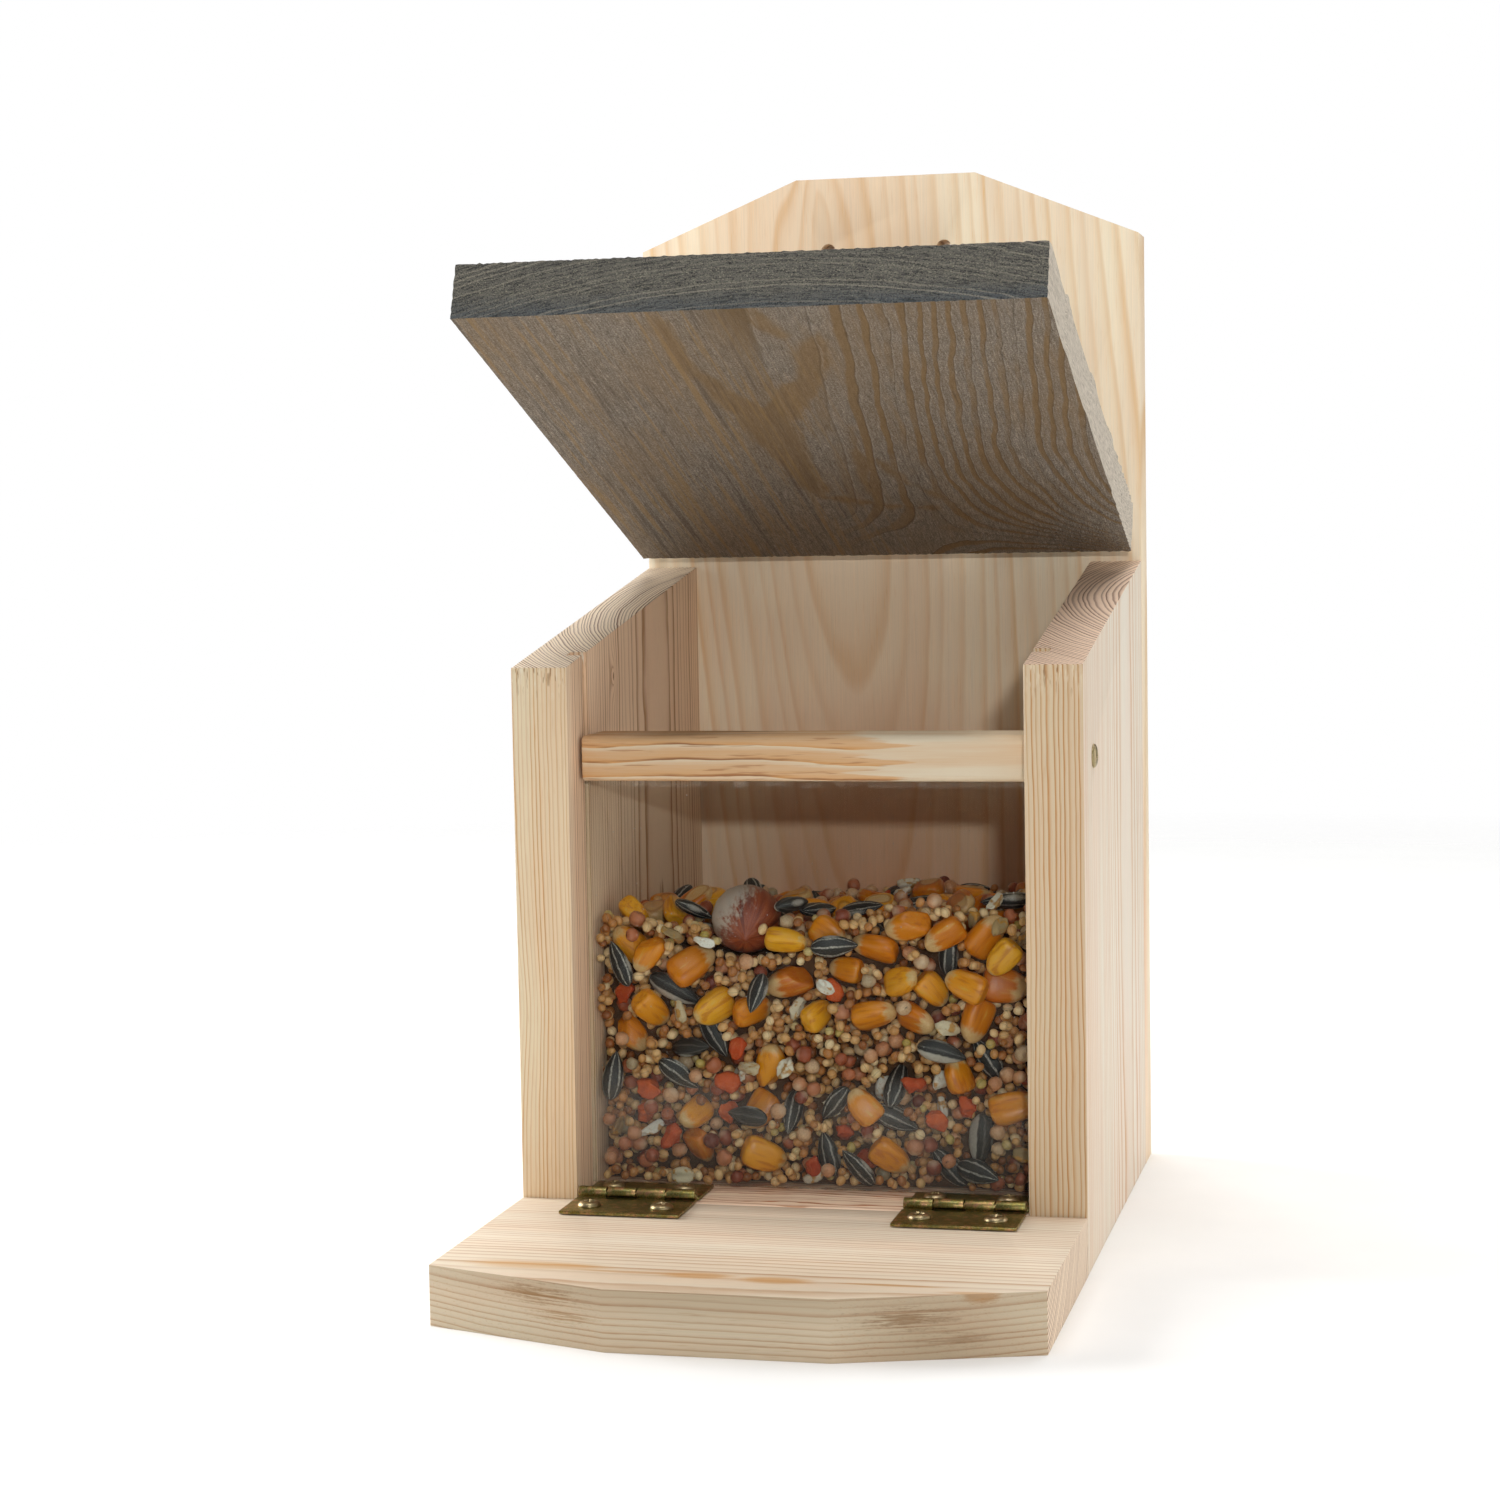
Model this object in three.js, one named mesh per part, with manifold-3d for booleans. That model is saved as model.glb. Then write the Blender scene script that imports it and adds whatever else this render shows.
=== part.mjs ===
// A squirrel feeder box: a pine hopper with a clear front window, a grey lid on two hinges and a
// sitting platform that folds up on two more. Millimetres, +Z up, +X to the right seen from the front,
// +Y towards the back panel. The origin is under the middle of the whole object, on the ground.
import * as THREE from 'three';
import { mergeVertices } from 'three/addons/utils/BufferGeometryUtils.js';
import Module from 'manifold-3d';

const wasm = await Module();
wasm.setup();

// Boards
const BOARD = 15;
const WIDTH = 150;
const SIDE_DEPTH = 137;
const SIDE_FRONT_HEIGHT = 155.5;
const SIDE_BACK_HEIGHT = 179.5;
const BACK_SHOULDER_HEIGHT = 275;
const BACK_HEIGHT = 294.5;
const BACK_TOP_WIDTH = 54;
const PLATFORM_SIDE_DEPTH = 74;
const PLATFORM_DEPTH = 89.5;
const PLATFORM_FRONT_WIDTH = 54;
const LID_LENGTH = 182;
const LID_WIDTH = 147.5;
const FLOOR_EASED_RADIUS = 1.6;

// Crossbar and window
const CROSSBAR_HEIGHT = 12;
const CROSSBAR_DEPTH = 21;
const CROSSBAR_FRONT = 9;
const CROSSBAR_ABOVE_FLOOR = 110;
const CROSSBAR_EDGE_RADIUS = 2;
const CROSSBAR_LEFT_GAP = 1;
const GROOVE_FRONT = 15;
const GROOVE_WIDTH = 3.8;
const GROOVE_DEPTH = 4.5;
const WINDOW_THICKNESS = 3;

// Hinges: rolled steel leaves, four knuckles on a pin
const HINGE_LENGTH = 32;
const HINGE_CENTRE_X = 43.5;
const KNUCKLES = 4;
const KNUCKLE_GAP = 0.4;
const LEAF_WIDTH = 18.4;
const LEAF_THICKNESS = 0.8;
const BARREL_RADIUS = 1.7;
const PIN_RADIUS = 0.8;
const LEAF_NOTCH = 2.2;
const ROLL_SEAM_ANGLE = THREE.MathUtils.degToRad(-12);
const HINGE_SCREW_FROM_PIN = 11.5;
const HINGE_SCREW_SPACING = 19.5;

// Screws
const PAN_HEAD = { headRadius: 3.05, headHeight: 1.5, shankRadius: 1.25, length: 11 };
const CROSSBAR_SCREW = { headRadius: 3.15, headHeight: 1.1, shankRadius: 1.6, length: 32 };
const BACK_SCREW = { headRadius: 3.6, headDepth: 3, shankRadius: 1.7, length: 35 };
const BACK_SCREW_HEIGHTS = [42, 138];
const BACK_SCREW_FLOOR_X = 32;

// Hanging holes
const HANGING_HOLE_RADIUS = 2.25;
const HANGING_HOLE_X = 17.5;
const HANGING_HOLE_HEIGHT = 273;

// Lid pose: how far its front stands above level
const LID_TILT = THREE.MathUtils.degToRad(19.6);
const LID_BEHIND_PIN = 4;

// Feed
const FEED_LEVEL = 70;
const NUT_DIAMETER = 19;
const NUT_HEIGHT = 18;
const NUT_PLACE = { x: -20.3, y: 29.6, aboveFloor: 71.5 };

// Clearance between touching pieces, and roundness of the curved ones
const FIT = 0.3;
const ROUND_STEPS = 12;
const HANGING_HOLE_STEPS = 32;
const CORNER_STEPS = 4;
const FEED_STEPS = 20;

// Values worked out from the driving dimensions
const INNER_HALF_WIDTH = WIDTH / 2 - BOARD;
const BODY_DEPTH = SIDE_DEPTH + BOARD;
const ORIGIN_SHIFT_Y = (PLATFORM_DEPTH - BODY_DEPTH) / 2;
const ROOF_PITCH = Math.atan2(SIDE_BACK_HEIGHT - SIDE_FRONT_HEIGHT, SIDE_DEPTH);
const PIN_ABOVE_WOOD = BARREL_RADIUS + FIT;
const CROSSBAR_BOTTOM = BOARD + CROSSBAR_ABOVE_FLOOR;
const CROSSBAR_MIDDLE = {
  y: CROSSBAR_FRONT + CROSSBAR_DEPTH / 2,
  z: CROSSBAR_BOTTOM + CROSSBAR_HEIGHT / 2,
};
const PLATFORM_PIN = { y: 0, z: BOARD + PIN_ABOVE_WOOD };
const LID_PIN_Y = SIDE_DEPTH - PIN_ABOVE_WOOD;
const LID_PIN = {
  y: LID_PIN_Y,
  z: SIDE_FRONT_HEIGHT + LID_PIN_Y * Math.tan(ROOF_PITCH)
    + (FIT + BOARD + PIN_ABOVE_WOOD) / Math.cos(ROOF_PITCH),
};

// Materials

function finish(color, roughness, metalness = 0) {
  return new THREE.MeshStandardMaterial({ color, roughness, metalness });
}

const pinePale = finish('#e6d3b1', 0.7);
const pineWarm = finish('#dcc39a', 0.7);
const pineAmber = finish('#d2ac78', 0.65);
const pineGrey = finish('#55534e', 0.85);
const zincYellow = finish('#a08a4c', 0.35, 1);
const feedBrown = finish('#8a5f3c', 0.8);
const nutBrown = finish('#9a6234', 0.5);
const clearSheet = new THREE.MeshStandardMaterial({
  color: '#f2f4f2', roughness: 0.08, metalness: 0, transparent: true, opacity: 0.25,
});

// Solids: three.js geometry in and out, with cuts and joins in between

function toSolid(geometry) {
  const bare = geometry.clone();
  bare.deleteAttribute('normal');
  bare.deleteAttribute('uv');
  const welded = mergeVertices(bare, 1e-4);
  const corners = welded.index.array;
  const triangles = [];
  for (let i = 0; i < corners.length; i += 3) {
    const [a, b, c] = [corners[i], corners[i + 1], corners[i + 2]];
    if (a !== b && b !== c && c !== a) triangles.push(a, b, c);
  }
  return new wasm.Manifold(new wasm.Mesh({
    numProp: 3,
    vertProperties: Float32Array.from(welded.attributes.position.array),
    triVerts: Uint32Array.from(triangles),
  }));
}

function toGeometry(solid) {
  const mesh = solid.getMesh();
  const geometry = new THREE.BufferGeometry();
  geometry.setAttribute('position', new THREE.BufferAttribute(mesh.vertProperties, 3));
  geometry.setIndex(new THREE.BufferAttribute(mesh.triVerts, 1));
  geometry.computeVertexNormals();
  return geometry;
}

function cutAll(solid, tools) {
  return tools.reduce((left, tool) => left.subtract(toSolid(tool)), solid);
}

// A piece in the scene graph, from a solid or a plain geometry
function piece(name, shape, material) {
  const solid = shape.isBufferGeometry ? toSolid(shape) : shape;
  const mesh = new THREE.Mesh(toGeometry(solid), material);
  mesh.name = name;
  return mesh;
}

// An outline in (y, z), pulled along X
function alongX(outline, fromX, toX, curveSegments = CORNER_STEPS) {
  const depth = toX - fromX;
  const pulled = new THREE.ExtrudeGeometry(outline, { depth, bevelEnabled: false, curveSegments });
  const turn = new THREE.Matrix4().makeBasis(
    new THREE.Vector3(0, 1, 0),
    new THREE.Vector3(0, 0, 1),
    new THREE.Vector3(1, 0, 0),
  );
  return pulled.applyMatrix4(turn).translate(fromX, 0, 0);
}

// An outline in (x, z), pulled along Y
function alongY(outline, fromY, toY) {
  const pulled = new THREE.ExtrudeGeometry(outline, { depth: toY - fromY, bevelEnabled: false });
  return pulled.rotateX(Math.PI / 2).translate(0, toY, 0);
}

// An outline in (x, y), pulled up
function alongZ(outline, fromZ, toZ) {
  const pulled = new THREE.ExtrudeGeometry(outline, { depth: toZ - fromZ, bevelEnabled: false });
  return pulled.translate(0, 0, fromZ);
}

function outlineOf(points) {
  return new THREE.Shape(points.map(([across, up]) => new THREE.Vector2(across, up)));
}

function box(low, high) {
  const size = high.map((value, i) => value - low[i]);
  const middle = high.map((value, i) => (value + low[i]) / 2);
  return new THREE.BoxGeometry(...size).translate(...middle);
}

// A cone or rod between two points
function rod(from, to, fromRadius, toRadius = fromRadius, steps = ROUND_STEPS) {
  const start = new THREE.Vector3(...from);
  const way = new THREE.Vector3(...to).sub(start);
  const turn = new THREE.Quaternion().setFromUnitVectors(
    new THREE.Vector3(0, 1, 0),
    way.clone().normalize(),
  );
  const shape = new THREE.CylinderGeometry(toRadius, fromRadius, way.length(), steps);
  shape.applyQuaternion(turn);
  return shape.translate(...start.addScaledVector(way, 0.5).toArray());
}

// Screws: turned profiles on +Z, with the head's seat at z = 0

function turned(profile) {
  const points = profile.map(([radius, height]) => new THREE.Vector2(radius, height));
  return new THREE.LatheGeometry(points, ROUND_STEPS).rotateX(Math.PI / 2);
}

function shankProfile({ shankRadius, length }) {
  const tip = shankRadius * 2;
  return [[0, -length], [shankRadius * 0.45, -length + tip * 0.6], [shankRadius, -length + tip]];
}

function panHeadScrew(size) {
  const { headRadius, headHeight, shankRadius } = size;
  return turned([
    ...shankProfile(size),
    [shankRadius, 0],
    [headRadius, 0],
    [headRadius, headHeight * 0.25],
    [headRadius * 0.9, headHeight * 0.66],
    [headRadius * 0.62, headHeight * 0.93],
    [0, headHeight],
  ]);
}

function countersunkScrew(size) {
  const { headRadius, headDepth, shankRadius } = size;
  return turned([
    ...shankProfile(size),
    [shankRadius, -headDepth],
    [headRadius, -0.3],
    [headRadius, 0],
    [0, 0],
  ]);
}

function holeFor(size, mouth, way) {
  const end = mouth.map((value, i) => value + way[i] * (size.length + 1));
  return rod(mouth, end, size.shankRadius + FIT);
}

// Boards, in the body frame: y = 0 at the front edges of the side panels, z = 0 at the underside

// The six screws that hold the back panel, by name and place on its rear face
function backScrewPlaces() {
  const places = [];
  for (const [side, sign] of [['left', -1], ['right', 1]]) {
    BACK_SCREW_HEIGHTS.forEach((z, row) => {
      const name = `back_screw_${side}_${row === 0 ? 'lower' : 'upper'}`;
      places.push({ name, x: sign * (WIDTH - BOARD) / 2, z });
    });
    places.push({ name: `back_screw_floor_${side}`, x: sign * BACK_SCREW_FLOOR_X, z: BOARD / 2 });
  }
  return places;
}

function backScrewHoles() {
  return backScrewPlaces().map(({ x, z }) => holeFor(BACK_SCREW, [x, BODY_DEPTH, z], [0, -1, 0]));
}

function backPanel() {
  const outline = outlineOf([
    [-WIDTH / 2, 0],
    [WIDTH / 2, 0],
    [WIDTH / 2, BACK_SHOULDER_HEIGHT],
    [BACK_TOP_WIDTH / 2, BACK_HEIGHT],
    [-BACK_TOP_WIDTH / 2, BACK_HEIGHT],
    [-WIDTH / 2, BACK_SHOULDER_HEIGHT],
  ]);
  const sinkRadius = BACK_SCREW.headRadius + FIT;
  const sinks = backScrewPlaces().map(({ x, z }) => rod(
    [x, BODY_DEPTH + 1, z],
    [x, BODY_DEPTH - BACK_SCREW.headDepth - FIT, z],
    sinkRadius + 1,
    BACK_SCREW.shankRadius + FIT,
  ));
  const hangingHoles = [-HANGING_HOLE_X, HANGING_HOLE_X].map((x) => rod(
    [x, SIDE_DEPTH - 1, HANGING_HOLE_HEIGHT],
    [x, BODY_DEPTH + 1, HANGING_HOLE_HEIGHT],
    HANGING_HOLE_RADIUS,
    HANGING_HOLE_RADIUS,
    HANGING_HOLE_STEPS,
  ));
  const hingeHoles = hingeScrewPlaces().map((x) => holeFor(
    PAN_HEAD,
    [x, SIDE_DEPTH - 1, LID_PIN.z + HINGE_SCREW_FROM_PIN],
    [0, 1, 0],
  ));
  const board = toSolid(alongY(outline, SIDE_DEPTH, BODY_DEPTH));
  return cutAll(board, [...backScrewHoles(), ...sinks, ...hangingHoles, ...hingeHoles]);
}

function sidePanel(sign) {
  const outline = outlineOf([
    [0, 0],
    [SIDE_DEPTH, 0],
    [SIDE_DEPTH, SIDE_BACK_HEIGHT],
    [0, SIDE_FRONT_HEIGHT],
  ]);
  const innerX = sign * INNER_HALF_WIDTH;
  const outerX = sign * WIDTH / 2;
  const grooveX = [innerX - sign, innerX + sign * GROOVE_DEPTH].sort((a, b) => a - b);
  const groove = box(
    [grooveX[0], GROOVE_FRONT, -1],
    [grooveX[1], GROOVE_FRONT + GROOVE_WIDTH, SIDE_BACK_HEIGHT],
  );
  const screwHole = holeFor(
    CROSSBAR_SCREW,
    [outerX + sign, CROSSBAR_MIDDLE.y, CROSSBAR_MIDDLE.z],
    [-sign, 0, 0],
  );
  const board = toSolid(alongX(outline, Math.min(innerX, outerX), Math.max(innerX, outerX)));
  return cutAll(board, [groove, screwHole, ...backScrewHoles()]);
}

function floorBoard() {
  const ease = FLOOR_EASED_RADIUS;
  const outline = new THREE.Shape();
  outline.moveTo(0, 0);
  outline.lineTo(SIDE_DEPTH, 0);
  outline.lineTo(SIDE_DEPTH, BOARD);
  outline.lineTo(ease, BOARD);
  outline.absarc(ease, BOARD - ease, ease, Math.PI / 2, Math.PI, false);
  outline.lineTo(0, 0);
  const hingeHoles = hingeScrewPlaces().map((x) => holeFor(
    PAN_HEAD,
    [x, HINGE_SCREW_FROM_PIN, BOARD + 1],
    [0, 0, -1],
  ));
  const board = toSolid(alongX(outline, -INNER_HALF_WIDTH, INNER_HALF_WIDTH));
  return cutAll(board, [...hingeHoles, ...backScrewHoles()]);
}

function crossbar() {
  const radius = CROSSBAR_EDGE_RADIUS;
  const [front, back] = [CROSSBAR_FRONT, CROSSBAR_FRONT + CROSSBAR_DEPTH];
  const [bottom, top] = [CROSSBAR_BOTTOM, CROSSBAR_BOTTOM + CROSSBAR_HEIGHT];
  const outline = new THREE.Shape();
  outline.moveTo(front + radius, bottom);
  outline.absarc(back - radius, bottom + radius, radius, -Math.PI / 2, 0, false);
  outline.absarc(back - radius, top - radius, radius, 0, Math.PI / 2, false);
  outline.absarc(front + radius, top - radius, radius, Math.PI / 2, Math.PI, false);
  outline.absarc(front + radius, bottom + radius, radius, Math.PI, Math.PI * 1.5, false);
  const bar = toSolid(alongX(outline, -INNER_HALF_WIDTH + CROSSBAR_LEFT_GAP, INNER_HALF_WIDTH - FIT));
  const holes = [-1, 1].map((sign) => holeFor(
    CROSSBAR_SCREW,
    [sign * (WIDTH / 2 + 1), CROSSBAR_MIDDLE.y, CROSSBAR_MIDDLE.z],
    [-sign, 0, 0],
  ));
  return cutAll(bar, holes);
}

// The window stands in the side grooves, just clear of the hinge leaves, up to the crossbar
function frontWindow() {
  const front = GROOVE_FRONT + (GROOVE_WIDTH - WINDOW_THICKNESS) / 2;
  const halfWidth = INNER_HALF_WIDTH + GROOVE_DEPTH - FIT;
  const bottom = PLATFORM_PIN.z - BARREL_RADIUS + LEAF_THICKNESS + FIT;
  return box(
    [-halfWidth, front, bottom],
    [halfWidth, front + WINDOW_THICKNESS, CROSSBAR_BOTTOM - FIT],
  );
}

function platformOutline() {
  const front = -PLATFORM_DEPTH;
  const rear = -FIT;
  return outlineOf([
    [-WIDTH / 2, rear],
    [-WIDTH / 2, -PLATFORM_SIDE_DEPTH],
    [-PLATFORM_FRONT_WIDTH / 2, front],
    [PLATFORM_FRONT_WIDTH / 2, front],
    [WIDTH / 2, -PLATFORM_SIDE_DEPTH],
    [WIDTH / 2, rear],
  ]);
}

// The two moving boards are made with their hinge pin at y = 0, z = 0, and reach towards -Y

function movingScrewHoles() {
  return hingeScrewPlaces().map((x) => holeFor(
    PAN_HEAD,
    [x, -HINGE_SCREW_FROM_PIN, 1 - PIN_ABOVE_WOOD],
    [0, 0, -1],
  ));
}

function platformBoard() {
  const board = alongZ(platformOutline(), -PIN_ABOVE_WOOD - BOARD, -PIN_ABOVE_WOOD);
  return cutAll(toSolid(board), movingScrewHoles());
}

function lidBoard() {
  const board = box(
    [-LID_WIDTH / 2, -LID_BEHIND_PIN - LID_LENGTH, -PIN_ABOVE_WOOD - BOARD],
    [LID_WIDTH / 2, -LID_BEHIND_PIN, -PIN_ABOVE_WOOD],
  );
  return cutAll(toSolid(board), movingScrewHoles());
}

// Hinges

function hingeScrewPlaces() {
  const places = [];
  for (const hinge of [-HINGE_CENTRE_X, HINGE_CENTRE_X]) {
    places.push(hinge - HINGE_SCREW_SPACING / 2, hinge + HINGE_SCREW_SPACING / 2);
  }
  return places;
}

// One knuckle in (y, z) about the pin: the leaf's plate, rolled up and round until the seam
function knuckleOutline() {
  const inner = BARREL_RADIUS - LEAF_THICKNESS;
  const root = LEAF_NOTCH + 1;
  const bottom = -Math.PI / 2;
  const outline = new THREE.Shape();
  outline.moveTo(root, -BARREL_RADIUS);
  outline.absarc(0, 0, BARREL_RADIUS, bottom, ROLL_SEAM_ANGLE - 2 * Math.PI, true);
  outline.absarc(0, 0, inner, ROLL_SEAM_ANGLE, bottom, false);
  outline.lineTo(root, -inner);
  return outline;
}

// A leaf with every second knuckle. Two of them, turned half round, mesh on one pin
function hingeLeaf() {
  const pitch = HINGE_LENGTH / KNUCKLES;
  let leaf = toSolid(box(
    [-HINGE_LENGTH / 2, LEAF_NOTCH, -BARREL_RADIUS],
    [HINGE_LENGTH / 2, LEAF_WIDTH, LEAF_THICKNESS - BARREL_RADIUS],
  ));
  for (let slot = 0; slot < KNUCKLES; slot += 2) {
    const start = -HINGE_LENGTH / 2 + slot * pitch + KNUCKLE_GAP / 2;
    const knuckle = alongX(knuckleOutline(), start, start + pitch - KNUCKLE_GAP, ROUND_STEPS);
    leaf = leaf.add(toSolid(knuckle));
  }
  const holes = [-1, 1].map((sign) => {
    const x = sign * HINGE_SCREW_SPACING / 2;
    const radius = PAN_HEAD.shankRadius + FIT;
    return rod([x, HINGE_SCREW_FROM_PIN, -BARREL_RADIUS - 1], [x, HINGE_SCREW_FROM_PIN, 0], radius);
  });
  return cutAll(leaf, holes);
}

// A leaf and its two screws, as one group that the caller turns and places
function leafWithScrews(name) {
  const group = new THREE.Group();
  group.add(piece(name, hingeLeaf(), zincYellow));
  [-1, 1].forEach((sign, i) => {
    const screw = piece(`${name}_screw_${i + 1}`, panHeadScrew(PAN_HEAD), zincYellow);
    const seat = LEAF_THICKNESS - BARREL_RADIUS + FIT;
    screw.position.set(sign * HINGE_SCREW_SPACING / 2, HINGE_SCREW_FROM_PIN, seat);
    group.add(screw);
  });
  return group;
}

// Two hinges on one axis: fixedTurn stands the fixed leaf on its board
function addHinges(kind, pin, fixedLeafName, fixedTurn, fixedGroup, movingLeafName, movingGroup) {
  for (const [side, sign] of [['left', -1], ['right', 1]]) {
    const x = sign * HINGE_CENTRE_X;
    const name = `${kind}_hinge_${side}`;
    const fixedLeaf = leafWithScrews(`${name}_${fixedLeafName}`);
    fixedLeaf.position.set(x, pin.y, pin.z);
    fixedLeaf.rotation.x = fixedTurn;
    fixedGroup.add(fixedLeaf);

    const rodShape = rod([-HINGE_LENGTH / 2, 0, 0], [HINGE_LENGTH / 2, 0, 0], PIN_RADIUS);
    const pinPiece = piece(`${name}_pin`, rodShape, zincYellow);
    pinPiece.position.set(x, pin.y, pin.z);
    fixedGroup.add(pinPiece);

    const movingLeaf = leafWithScrews(`${name}_${movingLeafName}`);
    movingLeaf.position.set(x, 0, 0);
    movingLeaf.rotation.z = Math.PI;
    movingGroup.add(movingLeaf);
  }
}

// Feed

// Height of the heap above the floor: higher at the window, with a hollow and a few soft mounds
function feedHeight(x, y) {
  const depth = (y - GROOVE_FRONT) / (SIDE_DEPTH - GROOVE_FRONT);
  const fall = 3 - 8 * depth;
  const rise = 4.5 * Math.max(0, x / INNER_HALF_WIDTH) * (1 - depth);
  const mounds = 2 * Math.sin(x / 17 + 0.6) * Math.cos(y / 21) + 1.2 * Math.sin(x / 7 - y / 9);
  return FEED_LEVEL + fall + rise + mounds;
}

function nut(grow) {
  const [radius, half] = [NUT_DIAMETER / 2 + grow, NUT_HEIGHT / 2 + grow];
  const outline = new THREE.SplineCurve([
    new THREE.Vector2(0, -half),
    new THREE.Vector2(radius * 0.55, -half * 0.93),
    new THREE.Vector2(radius * 0.95, -half * 0.42),
    new THREE.Vector2(radius * 0.97, half * 0.2),
    new THREE.Vector2(radius * 0.6, half * 0.78),
    new THREE.Vector2(0, half),
  ]);
  const points = outline.getPoints(ROUND_STEPS);
  points[0].x = 0;
  points[points.length - 1].x = 0;
  const shape = new THREE.LatheGeometry(points, ROUND_STEPS + 4);
  shape.rotateX(THREE.MathUtils.degToRad(115)).rotateY(THREE.MathUtils.degToRad(-25));
  return shape.translate(NUT_PLACE.x, NUT_PLACE.y, BOARD + NUT_PLACE.aboveFloor);
}

function feedMix() {
  const low = [-INNER_HALF_WIDTH + FIT, GROOVE_FRONT + GROOVE_WIDTH + FIT, BOARD + FIT];
  const high = [INNER_HALF_WIDTH - FIT, SIDE_DEPTH - FIT, BOARD + FEED_LEVEL];
  const size = high.map((value, i) => value - low[i]);
  const heap = new THREE.BoxGeometry(...size, FEED_STEPS, FEED_STEPS, 1);
  heap.translate(0, (low[1] + high[1]) / 2, (low[2] + high[2]) / 2);
  const place = heap.attributes.position;
  const middle = (low[2] + high[2]) / 2;
  for (let i = 0; i < place.count; i += 1) {
    if (place.getZ(i) > middle) place.setZ(i, BOARD + feedHeight(place.getX(i), place.getY(i)));
  }
  return cutAll(toSolid(heap), [nut(FIT)]);
}

// Assembly

const body = new THREE.Group();
body.add(
  piece('back_panel', backPanel(), pinePale),
  piece('side_panel_left', sidePanel(-1), pineWarm),
  piece('side_panel_right', sidePanel(1), pineWarm),
  piece('floor_board', floorBoard(), pineWarm),
  piece('crossbar', crossbar(), pineAmber),
  piece('front_window', frontWindow(), clearSheet),
  piece('feed_mix', feedMix(), feedBrown),
  piece('hazelnut', nut(0), nutBrown),
);

for (const { name, x, z } of backScrewPlaces()) {
  const screw = piece(name, countersunkScrew(BACK_SCREW), zincYellow);
  screw.position.set(x, BODY_DEPTH - FIT, z);
  screw.rotation.x = -Math.PI / 2;
  body.add(screw);
}

for (const [side, sign] of [['left', -1], ['right', 1]]) {
  const screw = piece(`crossbar_screw_${side}`, panHeadScrew(CROSSBAR_SCREW), zincYellow);
  screw.position.set(sign * (WIDTH / 2), CROSSBAR_MIDDLE.y, CROSSBAR_MIDDLE.z);
  screw.rotation.y = sign * Math.PI / 2;
  body.add(screw);
}

const platform = new THREE.Group();
platform.position.set(0, PLATFORM_PIN.y, PLATFORM_PIN.z);
platform.add(piece('platform_board', platformBoard(), pinePale));

const lid = new THREE.Group();
lid.position.set(0, LID_PIN.y, LID_PIN.z);
lid.rotation.x = -LID_TILT;
lid.add(piece('lid_board', lidBoard(), pineGrey));

addHinges('platform', PLATFORM_PIN, 'floor_leaf', 0, body, 'platform_leaf', platform);
addHinges('lid', LID_PIN, 'back_leaf', Math.PI / 2, body, 'lid_leaf', lid);

const feeder = new THREE.Group();
feeder.position.y = ORIGIN_SHIFT_Y;
feeder.add(body, platform, lid);

export default feeder;
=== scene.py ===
"""A squirrel feeder box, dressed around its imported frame.

Lengths are in metres. Names that end in _mm, and the wood, feed and node helpers, work in millimetres.
X points right seen from the front, Y towards the back panel, Z up.
"""

import math

import bmesh
import bpy
import numpy as np
from mathutils import Matrix, Vector, noise
from mathutils.bvhtree import BVHTree


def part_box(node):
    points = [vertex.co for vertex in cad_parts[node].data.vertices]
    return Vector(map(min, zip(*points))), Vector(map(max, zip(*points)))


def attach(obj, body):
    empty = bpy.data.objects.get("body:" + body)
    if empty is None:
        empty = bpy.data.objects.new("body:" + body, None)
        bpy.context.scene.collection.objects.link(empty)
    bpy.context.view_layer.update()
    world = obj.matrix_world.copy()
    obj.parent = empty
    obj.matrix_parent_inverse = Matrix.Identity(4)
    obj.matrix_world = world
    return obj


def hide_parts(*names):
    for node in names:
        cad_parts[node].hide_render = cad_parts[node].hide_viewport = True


MM = 0.001

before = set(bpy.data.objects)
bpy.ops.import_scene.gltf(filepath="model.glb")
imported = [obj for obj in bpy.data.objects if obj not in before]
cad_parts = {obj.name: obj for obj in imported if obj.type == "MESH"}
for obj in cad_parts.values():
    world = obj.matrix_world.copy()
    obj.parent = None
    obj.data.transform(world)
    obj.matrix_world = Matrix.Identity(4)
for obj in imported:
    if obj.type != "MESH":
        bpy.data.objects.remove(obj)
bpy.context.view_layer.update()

# Camera, as the photograph was taken
CAMERA_PLACE = Vector((0.17037, -0.77601, 0.19006))
CAMERA_FORWARD = Vector((-0.23593, 0.96903, -0.07298))
CAMERA_UP = Vector((0.00005, 0.07511, 0.99718))
CAMERA_LENS_MM = 71.678
SENSOR_MM = 36.0


# Node trees

def linear(code):
    """A hex colour as linear RGBA."""
    parts = [int(code[i:i + 2], 16) / 255 for i in (1, 3, 5)]
    return (*[c / 12.92 if c <= 0.04045 else ((c + 0.055) / 1.055) ** 2.4 for c in parts], 1.0)


def _adds(operation, swapped=False):
    """An operator's method, which adds a math node."""
    def method(value, other):
        return value.graph.math(operation, *((other, value) if swapped else (value, other)))
    return method


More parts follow.
